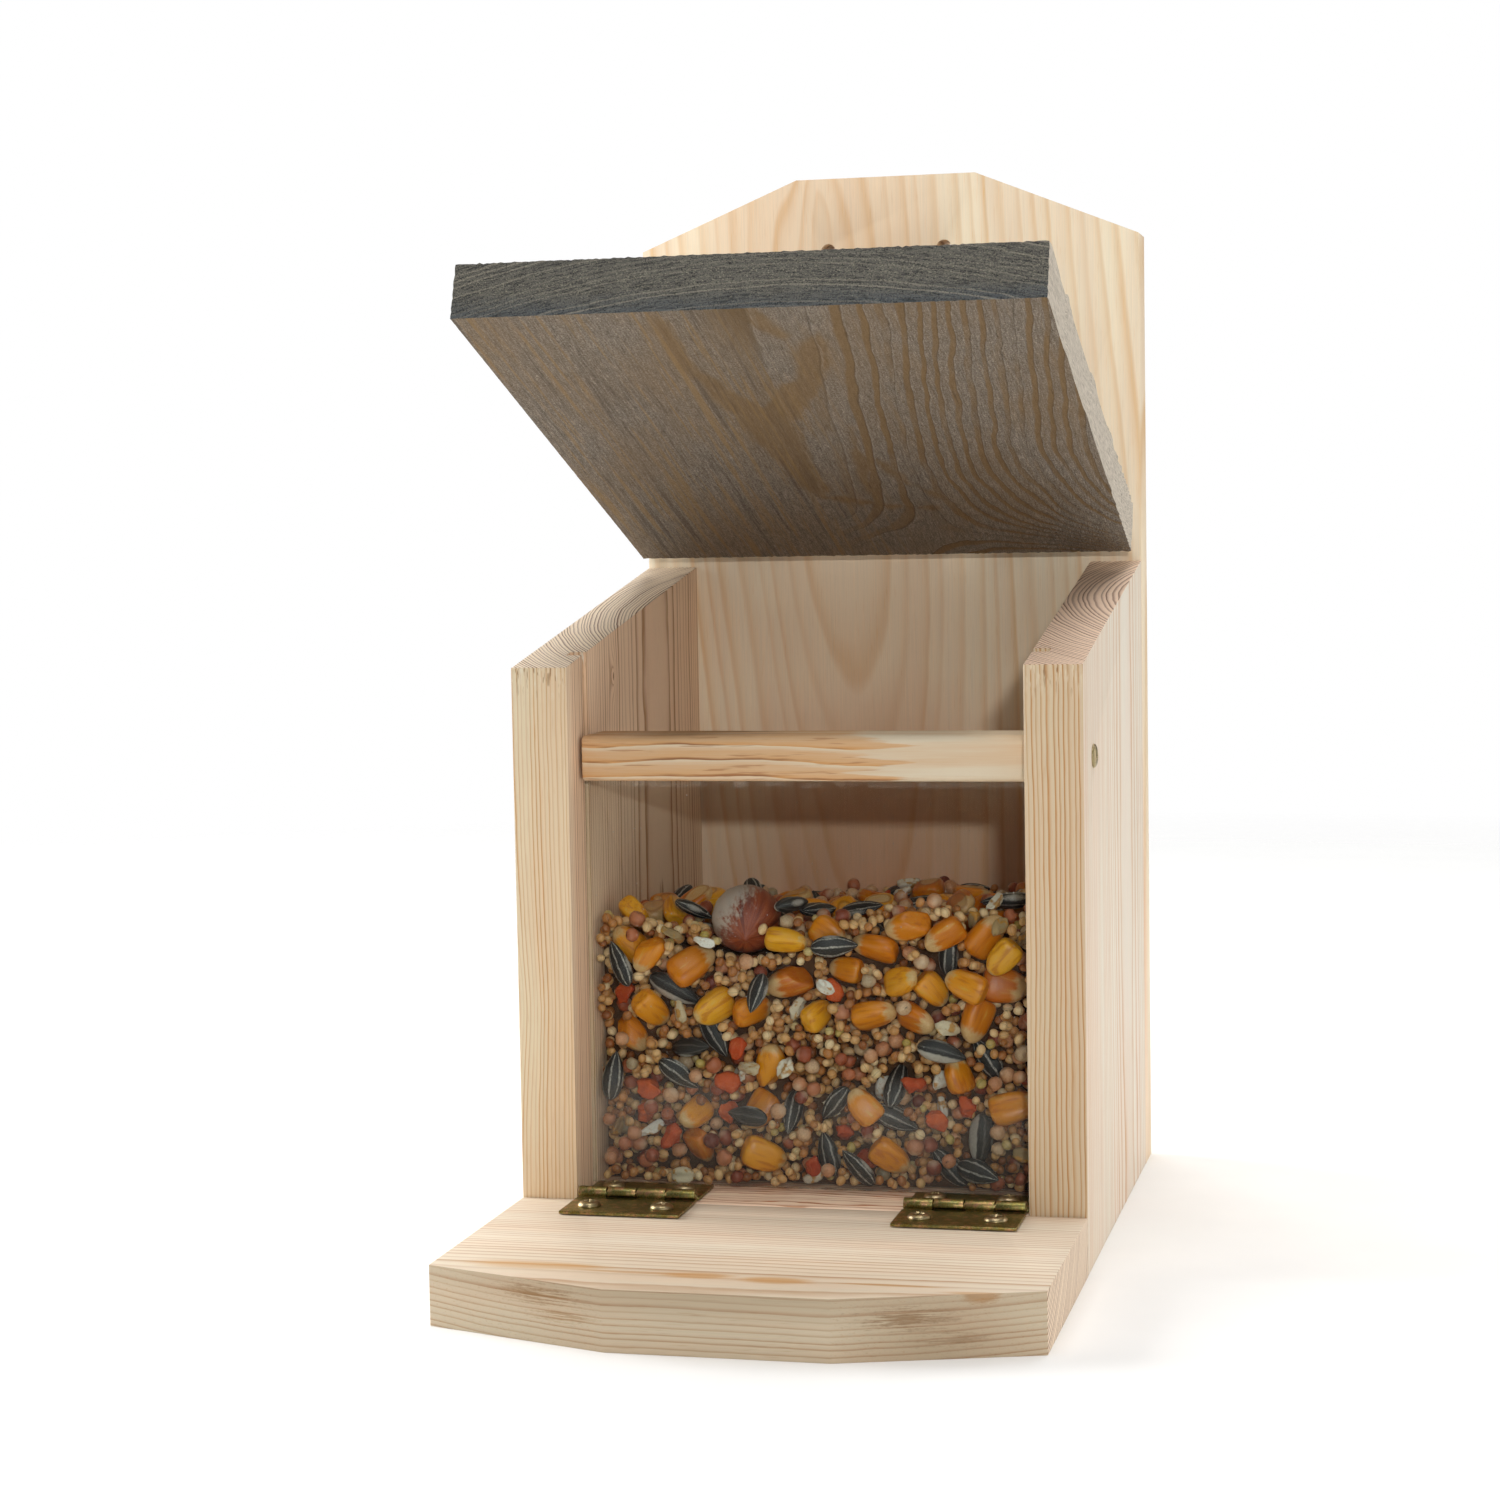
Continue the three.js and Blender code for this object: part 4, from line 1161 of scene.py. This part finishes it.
class Heap:
    """Grains laid one by one on a ground, which is kept as a height over a grid. Lengths in mm.

    axes holds the grid's two directions and the way that the heap grows, as rows.
    """

    def __init__(self, axes, low, high, ground):
        self.axes = np.array(axes, float)
        self.low, self.high = np.array(low, float), np.array(high, float)
        self.count = np.ceil((self.high - self.low) / FEED_STEP_MM).astype(int) + 1
        lines = [self.low[i] + np.arange(self.count[i]) * FEED_STEP_MM for i in (0, 1)]
        self.height = ground(*np.meshgrid(*lines, indexing="ij"))

    def footprint(self, turn, half):
        """A grain's half reaches on the heap's axes, the same in cells, and its lower and upper side.

        The sides are heights from its middle for each cell.
        """
        shape = self.axes @ turn
        spread = shape @ np.diag(half ** 2) @ shape.T
        reach = np.sqrt(np.diag(spread))
        form = np.linalg.inv(spread)
        cells = np.ceil(reach[:2] / FEED_STEP_MM).astype(int)
        steps = [np.arange(-n, n + 1) * FEED_STEP_MM for n in cells]
        du, dv = np.meshgrid(*steps, indexing="ij")
        b = 2 * (form[0, 2] * du + form[1, 2] * dv)
        c = form[0, 0] * du ** 2 + 2 * form[0, 1] * du * dv + form[1, 1] * dv ** 2 - 1
        root = b ** 2 - 4 * form[2, 2] * c
        inside = root > 0
        root = np.sqrt(np.where(inside, root, 0))
        under = np.where(inside, (-b - root) / (2 * form[2, 2]), np.inf)
        over = np.where(inside, (-b + root) / (2 * form[2, 2]), -np.inf)
        return reach, cells, under, over

    def drop(self, turn, half, rng, tries, ceiling, low_v):
        """Lays the grain where it comes to rest lowest among some tries, or nowhere. Returns its middle."""
        reach, cells, under, over = self.footprint(turn, half)
        best = None
        low = np.maximum(self.low + reach[:2], (-np.inf, low_v))
        for _ in range(tries):
            spot = rng.uniform(low, np.maximum(self.high - reach[:2], low))
            cell = np.round((spot - self.low) / FEED_STEP_MM).astype(int)
            start, stop = cell - cells, cell + cells + 1
            if (start < 0).any() or (stop > self.count).any():
                continue
            part = (slice(start[0], stop[0]), slice(start[1], stop[1]))
            level = (self.height[part] - under).max()
            middle = self.low + cell * FEED_STEP_MM
            if level + reach[2] * 0.5 > ceiling(*middle, reach):
                continue
            if best is None or level < best[0]:
                best = (level, middle, part)
        if best is None:
            return None
        level, middle, part = best
        self.height[part] = np.maximum(self.height[part], level + over)
        return self.axes.T @ np.array([*middle, level])

    def bury(self, middle, turn, half):
        """Raises the ground to the top of a grain that was laid on another heap."""
        _, cells, _, over = self.footprint(turn, half)
        cell = np.round((middle[:2] - self.low) / FEED_STEP_MM).astype(int)
        start = np.maximum(cell - cells, 0)
        stop = np.minimum(cell + cells + 1, self.count)
        part = tuple(slice(a, b) for a, b in zip(start, stop))
        inner = tuple(slice(a - c + n, b - c + n) for a, b, c, n in zip(start, stop, cell, cells))
        self.height[part] = np.maximum(self.height[part], middle[2] + over[inner])

    def pour(self, mix, rng, tries, ceiling, low_v=-np.inf):
        """Drops the mix in random order, from low_v up. Returns (kind, middle, turn, half lengths) rows."""
        order = [kind for kind, number in mix.items() for _ in range(number)]
        rng.shuffle(order)
        laid = []
        for kind in order:
            said = GRAINS[kind]
            half = np.array(said["half_mm"]) * rng.uniform(0.86, 1.12) * rng.uniform(0.93, 1.07, 3)
            turn = random_turn(rng, said["tilt"], self.axes[2])
            middle = self.drop(turn, half, rng, tries, ceiling, low_v)
            if middle is not None:
                laid.append((kind, middle, turn, half))
        return laid


def nut_place():
    """The nut's middle, radius and lowest height in mm."""
    low, high = [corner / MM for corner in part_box("hazelnut")]
    return (low + high) / 2, (high.x - low.x) / 2, low.z


def feed_surface():
    """A function that gives the CAD heap's height in mm over (x, y) in mm."""
    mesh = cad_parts["feed_mix"].data
    tree = BVHTree.FromPolygons([v.co for v in mesh.vertices], [p.vertices for p in mesh.polygons])
    low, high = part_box("feed_mix")

    def height(x, y):
        x = min(max(x * MM, low.x + MM), high.x - MM)
        y = min(max(y * MM, low.y + MM), high.y - MM)
        hit = tree.ray_cast(Vector((x, y, high.z + 0.05)), Vector((0, 0, -1)))[0]
        return hit.z / MM

    return height


def pour_at_window(rng, surface):
    """A layer of grains against the window, up to the heap's rim and clear of the nut."""
    low, high = [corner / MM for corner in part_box("feed_mix")]
    nut, nut_radius, nut_low_z = nut_place()
    rim = np.array([surface(x, low.y + 2) for x in np.arange(low.x, high.x + 1)])

    def ceiling(x, z, reach):
        top = rim[int(x - low.x)] + 0.5
        if abs(x - nut.x) < nut_radius:
            top = min(top, nut_low_z + 1.5)
        return low.y + WINDOW_LAYER_MM if z + reach[1] < top else -np.inf

    def ground(u, v):
        return np.full(u.shape, low.y)

    heap = Heap([(1, 0, 0), (0, 0, 1), (0, 1, 0)], (low.x, low.z), (high.x, high.z), ground)
    laid = heap.pour(WINDOW_RIM, rng, 3, ceiling, rim.min() - WINDOW_RIM_MM)
    laid += heap.pour(WINDOW_FIRST, rng, 2, ceiling)
    return laid + heap.pour(WINDOW_REST, rng, 6, ceiling)


def top_heap(surface):
    """The ground for the heap's top layer. It is out of reach where the nut lies."""
    low, high = [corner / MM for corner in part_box("feed_mix")]
    nut, nut_radius, _ = nut_place()

    def ground(u, v):
        coarse = np.array([[surface(x, y) for y in v[0, ::4]] for x in u[::4, 0]])
        heights = np.repeat(np.repeat(coarse, 4, 0), 4, 1)[:u.shape[0], :u.shape[1]] - TOP_LAYER_MM
        from_nut = np.hypot(u - nut.x, v - nut.y)
        return np.where(from_nut < nut_radius * 0.93, OUT_OF_REACH_MM, heights)

    return Heap([(1, 0, 0), (0, 1, 0), (0, 0, 1)], (low.x, low.y), (high.x, high.y), ground)


def pour_feed(rng):
    """All the grains that can be seen: a layer behind the window, then the top of the heap."""
    surface = feed_surface()
    laid = pour_at_window(rng, surface)
    top = top_heap(surface)
    for _, middle, turn, half in laid:
        top.bury(middle, turn, half)
    laid += top.pour(TOP_UNDER, rng, 8, lambda x, y, reach: surface(x, y) + 2.0)
    return laid + top.pour(TOP_LAST, rng, 8, lambda x, y, reach: surface(x, y) + 3.5)


def millet_colour(g, x, y, z, tint, speck, cloud):
    dark = (0.0, "#945222"), (0.2, "#c28042"), (0.5, "#dda868")
    light = (0.8, "#edc48c"), (0.93, "#f4d6a6"), (1.0, "#b89c40")
    seam = abs(y + cloud * 0.1).ramp(0.0, 0.12, 0.6, 1.0)
    shade = seam * x.ramp(0.75, 1.0, 1.0, 0.6) * speck.ramp(0.3, 0.7, 0.85, 1.08)
    return g.shaded(g.colours(tint, *dark, *light), shade)


def sorghum_colour(g, x, y, z, tint, speck, cloud):
    dark = (0.0, "#662310"), (0.25, "#a04c2c"), (0.5, "#c5744a")
    light = (0.75, "#dba173"), (0.92, "#e6c49a"), (1.0, "#979070")
    return g.coated(
        g.colours(tint, *dark, *light),
        (speck.ramp(0.38, 0.7, 0.0, 0.5), "#8f4c38"),
        (x.ramp(0.45, 0.9, 0.0, 0.55), "#dcc0a0"),
        (x.ramp(-0.74, -0.8), "#21130e"),
    )


def maize_colour(g, x, y, z, tint, speck, cloud):
    tones = (0.0, "#c66608"), (0.3, "#e2860c"), (0.65, "#ec9612"), (1.0, "#f1ae1e")
    streaks = g.noise((x * 0.8, y * 3.5, z * 3.5 + tint * 40.0), detail=2.0)
    tip = (x + streaks * 0.8 + tint * 0.5 - 0.65).ramp(-0.5, -0.74)
    oval = ((x + 0.2) / 0.72) ** 2 + (y / 0.5) ** 2
    germ_side = z.ramp(0.1, 0.3)
    germ = germ_side * oval.ramp(1.1, 0.8) * g.random(tint).ramp(0.45, 0.6, 0.85, 0.12)
    return g.coated(
        g.colours(tint, *tones),
        (streaks.ramp(0.52, 0.66, 0.0, 0.5), "#b8520c"),
        (streaks.ramp(0.4, 0.28, 0.0, 0.5), "#e6bd5a"),
        (g.most(tip * 0.8, germ), g.mix(speck, "#bd8c46", "#f0dba8")),
        (oval.ramp(0.7, 0.95) * oval.ramp(1.35, 1.1) * germ_side * 0.5, "#94500f"),
    )


def sunflower_colour(g, x, y, z, tint, speck, cloud):
    """Dark hulls with stripes that run from tip to tip, as on a globe. Some are pale on one side."""
    bend = g.math("ARCTAN2", z, y) * 7.0 + cloud * 2.4 + tint * 60.0
    stripes = g.math("SINE", bend).ramp(0.6, 0.95) * speck.ramp(0.35, 0.6, 0.25, 1.0)
    striped = stripes * tint.ramp(0.6, 0.66, 0.85, 0.15)
    edge = (abs(y) + speck * 0.15).ramp(0.86, 0.98)
    pale_side = tint.ramp(0.74, 0.76) * tint.ramp(0.93, 0.9) * (y + cloud * 0.3).ramp(0.0, -0.12)
    hull = g.mix(tint.ramp(0.975, 0.98), g.mix(speck, "#141314", "#37332f"), "#b9a685")
    return g.mix(g.most(striped, edge * 0.7, pale_side * 0.85), hull, g.mix(speck, "#a39c90", "#e4ddd0"))


def red_bit_colour(g, x, y, z, tint, speck, cloud):
    tones = (0.0, "#a83008"), (0.3, "#ca480c"), (0.7, "#e06214"), (1.0, "#e07c2a")
    return g.coated(
        g.colours(tint, *tones),
        (cloud.ramp(0.42, 0.7), "#be4a12"),
        (speck.ramp(0.54, 0.72, 0.0, 0.6), "#eb8a4c"),
    )


def flake_colour(g, x, y, z, tint, speck, cloud):
    tones = (0.0, "#8a6b45"), (0.15, "#b59a6a"), (0.35, "#dccba8"), (0.7, "#e9e0cc"), (1.0, "#f3efe4")
    return g.coated(
        g.colours(tint, *tones),
        (cloud.ramp(0.52, 0.6, 0.0, 0.85), "#c2872a"),
        (speck.ramp(0.4, 0.3, 0.0, 0.4), "#8a7448"),
    )


# Each kind's colour, roughness and how strong its bumps are
GRAIN_LOOKS = {
    MILLET: (millet_colour, 0.38, 0.25),
    SORGHUM: (sorghum_colour, 0.42, 0.25),
    MAIZE: (maize_colour, 0.3, 0.35),
    SUNFLOWER: (sunflower_colour, 0.5, 0.4),
    RED_BIT: (red_bit_colour, 0.7, 0.8),
    FLAKE: (flake_colour, 0.75, 0.8),
}


def grain_material(kind):
    """The finish of one kind of grain. local is a place on the unit grain, tint a number for each grain."""
    colour, rough, strength = GRAIN_LOOKS[kind]
    g = Graph("feed_" + kind)
    place_mm = g.places_mm()
    speck = g.noise(place_mm, scale=2.6, detail=2.0, roughness=0.65)
    cloud = g.noise(place_mm, scale=0.42, detail=2.0)
    return g.principled(
        Base_Color=colour(g, *g.split(g.attribute("local", "Vector")), g.attribute("tint"), speck, cloud),
        Roughness=rough,
        Normal=g.bump(speck, strength, 0.2),
        Specular_IOR_Level=0.5,
    )


def merged_grains(kind, rows, rng):
    """One mesh that holds every grain of a kind, with its local and tint attributes."""
    sphere, faces = unit_sphere(GRAINS[kind]["steps"])
    variants = [grain_points(kind, sphere, rng) for _ in range(GRAINS[kind]["variants"])]
    points, triangles, local, tint = [], [], [], []
    for number, (_, middle, turn, half) in enumerate(rows):
        shape = variants[rng.integers(len(variants))]
        points.append((shape * half) @ turn.T + middle)
        triangles.append(faces + number * len(sphere))
        local.append(shape)
        tint.append(np.full(len(sphere), rng.random()))
    attributes = {"local": np.concatenate(local), "tint": np.concatenate(tint)}
    return smooth_mesh("feed_" + kind, np.concatenate(points) * MM, np.concatenate(triangles), attributes)


def feed_core_mesh(rng):
    """The middle of the heap, a little under its grains."""
    low, high = [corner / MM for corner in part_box("feed_mix")]
    surface = feed_surface()
    xs = np.linspace(low.x + 0.2, high.x - 0.2, 40)
    ys = np.linspace(low.y + CORE_INSET_MM, high.y - 0.2, 40)
    bm = bmesh.new()

    def point(x, y, z):
        return bm.verts.new(Vector((x, y, z)) * MM)

    grid = [[point(x, y, surface(x, y) - CORE_INSET_MM - 1 + rng.uniform(0, 1)) for y in ys] for x in xs]
    base = [[point(x, y, low.z) for y in (ys[0], ys[-1])] for x in (xs[0], xs[-1])]
    for row, after in zip(grid, grid[1:]):
        for j in range(len(ys) - 1):
            bm.faces.new((row[j], after[j], after[j + 1], row[j + 1]))
    for end in (0, -1):
        bm.faces.new([row[end] for row in grid] + [base[1][end], base[0][end]])
    for end in (0, -1):
        bm.faces.new(grid[end] + [base[end][1], base[end][0]])
    bm.faces.new((base[0][0], base[1][0], base[1][1], base[0][1]))
    return to_mesh("feed_core", bm)


def add_feed_core(rng):
    # Painted shade: the core's dark brown stands for the shade deep between the grains.
    g = Graph("feed_core")
    speck = g.noise(g.places_mm(), scale=0.5, detail=3.0)
    material = g.principled(Base_Color=g.mix(speck, "#2a180b", "#6b4424"), Roughness=0.9)
    place(new_object("feed_core", feed_core_mesh(rng), material), "box", "feed", "feed_mix")


def add_feed():
    rng = np.random.default_rng(FEED_SEED)
    laid = pour_feed(rng)
    for kind in GRAINS:
        rows = [row for row in laid if row[0] == kind]
        material = grain_material(kind)
        for start in range(0, len(rows), MOST_GRAINS_IN_ONE):
            mesh = merged_grains(kind, rows[start:start + MOST_GRAINS_IN_ONE], rng)
            name = f"feed_{kind}_{start // MOST_GRAINS_IN_ONE + 1}"
            place(new_object(name, mesh, material), "box", "feed", "feed_mix")
    add_feed_core(rng)


def hazelnut_mesh():
    """A nut with a pointed tip and a rough foot, lying on its side."""
    points, faces = unit_sphere(6)
    x, y, z = points.T.copy()
    taper = 1 - 0.1 * np.clip(z, 0, 1) ** 2 + 0.05 * np.clip(-z, 0, 1)
    ridges = 0.006 * np.sin(np.arctan2(y, x) * 15) * (1 - z ** 2)
    points[:, :2] *= taper[:, None]
    points[:, 2] *= 0.95
    points[:, 2] += 0.12 * np.exp(-(x ** 2 + y ** 2) / 0.03) * (z > 0)
    points[:, 2] = np.where(z < -0.8, -0.76 + (z + 0.8) * 0.3, points[:, 2])
    points[:, :2] *= (1 + ridges)[:, None]
    turn = Matrix.Rotation(math.radians(-22), 3, "Y") @ Matrix.Rotation(math.radians(118), 3, "X")
    turned = points @ np.array(turn).T
    low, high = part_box("hazelnut")
    placed = turned * ((high.x - low.x) / 2) + np.array((low + high) / 2)
    return smooth_mesh("hazelnut", placed, faces, {"local": points, "turned": turned})


def nut_shell():
    """Brown shell, streaked from foot to tip, with dust on the side turned up, a pale foot, and painted
    shade on the side turned down and to the left.
    """
    g = Graph("nut_shell")
    local = g.attribute("local", "Vector")
    x, y, z = g.split(local)
    angle = g.math("ARCTAN2", y, x)
    streak_place = (g.math("SINE", angle) * 5.0, g.math("COSINE", angle) * 5.0, z * 0.9)
    streaks = g.noise(streak_place, detail=4.0, roughness=0.65)
    ragged = g.noise((x * 7.0, y * 7.0, z * 3.2), detail=5.0, roughness=0.75)
    right, back, up = g.split(g.attribute("turned", "Vector"))
    dusty_side = right * -0.66 + up * 0.52 + back * -0.12
    dust = (dusty_side * 0.62 + ragged + streaks * 0.35).ramp(0.78, 0.98)
    colour = g.coated(
        g.colours(streaks, (0.3, "#5d210f"), (0.5, "#8f3f1f"), (0.7, "#ab5a30")),
        # Painted shade on the side turned down and to the left.
        ((right * -0.7 + up * -0.6).ramp(0.45, 0.85, 0.0, 0.55), "#5b3a3c"),
        (dust * 0.82, "#c0b2a2"),
        (z.ramp(-0.7, -0.74), "#9c8468"),
    )
    fine = g.noise(local, scale=30.0, detail=2.0)
    return g.principled(
        Base_Color=colour,
        Roughness=dust.ramp(0.0, 1.0, 0.36, 0.85),
        Normal=g.bump(streaks * 0.5 + fine * 0.5, 0.5, 0.4),
    )


def add_hazelnut():
    place(new_object("visual_hazelnut", hazelnut_mesh(), nut_shell()), "box", "nut_shell", "hazelnut")


# Stage, light and camera

WORLD_LIGHT = 0.03
FLOOR_SOLID_MM, FLOOR_GONE_MM = 550.0, 1200.0
FLOOR_HALF = 4.0


def add_floor():
    bm = bmesh.new()
    bmesh.ops.create_grid(bm, x_segments=1, y_segments=1, size=FLOOR_HALF)
    floor = new_object("floor", to_mesh("floor", bm), floor_paper())


def floor_paper():
    """White paper that fades into the white surroundings away from the box."""
    g = Graph("floor_paper")
    x, y, z = g.places_mm()
    speckle = g.noise((x, y, z), scale=0.02, detail=3.0)
    paper = g.shader("BsdfDiffuse", Color=g.mix(speckle.ramp(0.3, 0.7), "#f2f1ef", "#f6f5f3"))
    faded = (x ** 2 + y ** 2).root().ramp(FLOOR_SOLID_MM, FLOOR_GONE_MM)
    return g.surfaced(g.mix_shaders(faded, paper, g.shader("BsdfTransparent")))


def add_light(name, place_at, target, width, height, power, colour="#ffffff"):
    data = bpy.data.lights.new(name, "AREA")
    data.shape = "RECTANGLE"
    data.size = width
    data.size_y = height
    data.energy = power
    data.color = linear(colour)[:3]
    light = bpy.data.objects.new(name, data)
    light.location = place_at
    light.rotation_mode = "QUATERNION"
    light.rotation_quaternion = (Vector(target) - Vector(place_at)).to_track_quat("-Z", "Y")
    bpy.context.scene.collection.objects.link(light)


def add_world():
    """White to look at, and nearly dark as a light, so that the area lights shape the box."""
    world = bpy.data.worlds.new("studio")
    world.use_nodes = True
    tree = world.node_tree
    background = tree.nodes["Background"]
    background.inputs["Color"].default_value = (1.0, 1.0, 1.0, 1.0)
    seen = tree.nodes.new("ShaderNodeLightPath")
    strength = tree.nodes.new("ShaderNodeMapRange")
    strength.inputs["To Min"].default_value = WORLD_LIGHT
    tree.links.new(seen.outputs["Is Camera Ray"], strength.inputs["Value"])
    tree.links.new(strength.outputs[0], background.inputs["Strength"])
    bpy.context.scene.world = world


def add_lights():
    add_world()
    middle = (0.0, 0.0, 0.12)
    add_light("key", (0.31, -1.15, 0.34), middle, 0.05, 0.025, 3.3)
    add_light("over", (0.05, -0.22, 0.8), middle, 0.5, 0.4, 3.3)
    add_light("right_back", (1.3, 0.6, 0.5), middle, 1.0, 1.2, 7.9)
    add_light("right_front", (1.3, -0.8, 0.5), middle, 1.0, 1.0, 3.3)
    add_light("left_side", (-1.5, 0.2, 0.6), middle, 1.0, 1.0, 33.0)
    add_light("top_back", (0.0, 0.9, 1.5), middle, 1.4, 1.0, 18.0)


def add_camera():
    data = bpy.data.cameras.new("camera")
    data.lens = CAMERA_LENS_MM
    data.sensor_width = SENSOR_MM
    data.clip_start = 0.01
    camera = bpy.data.objects.new("camera", data)
    back = -CAMERA_FORWARD.normalized()
    right = CAMERA_UP.cross(back).normalized()
    turn = Matrix((right, back.cross(right), back)).transposed().to_4x4()
    camera.matrix_world = Matrix.Translation(CAMERA_PLACE) @ turn
    bpy.context.scene.collection.objects.link(camera)
    bpy.context.scene.camera = camera


add_camera()
add_lights()
add_floor()
add_boards()
add_lid_board()
zinc, bright = zinc_yellow(), bright_zinc()
add_hinges(zinc, bright)
add_body_screws(bright)
add_window()
add_feed()
add_hazelnut()
bpy.context.scene.view_settings.view_transform = "Standard"
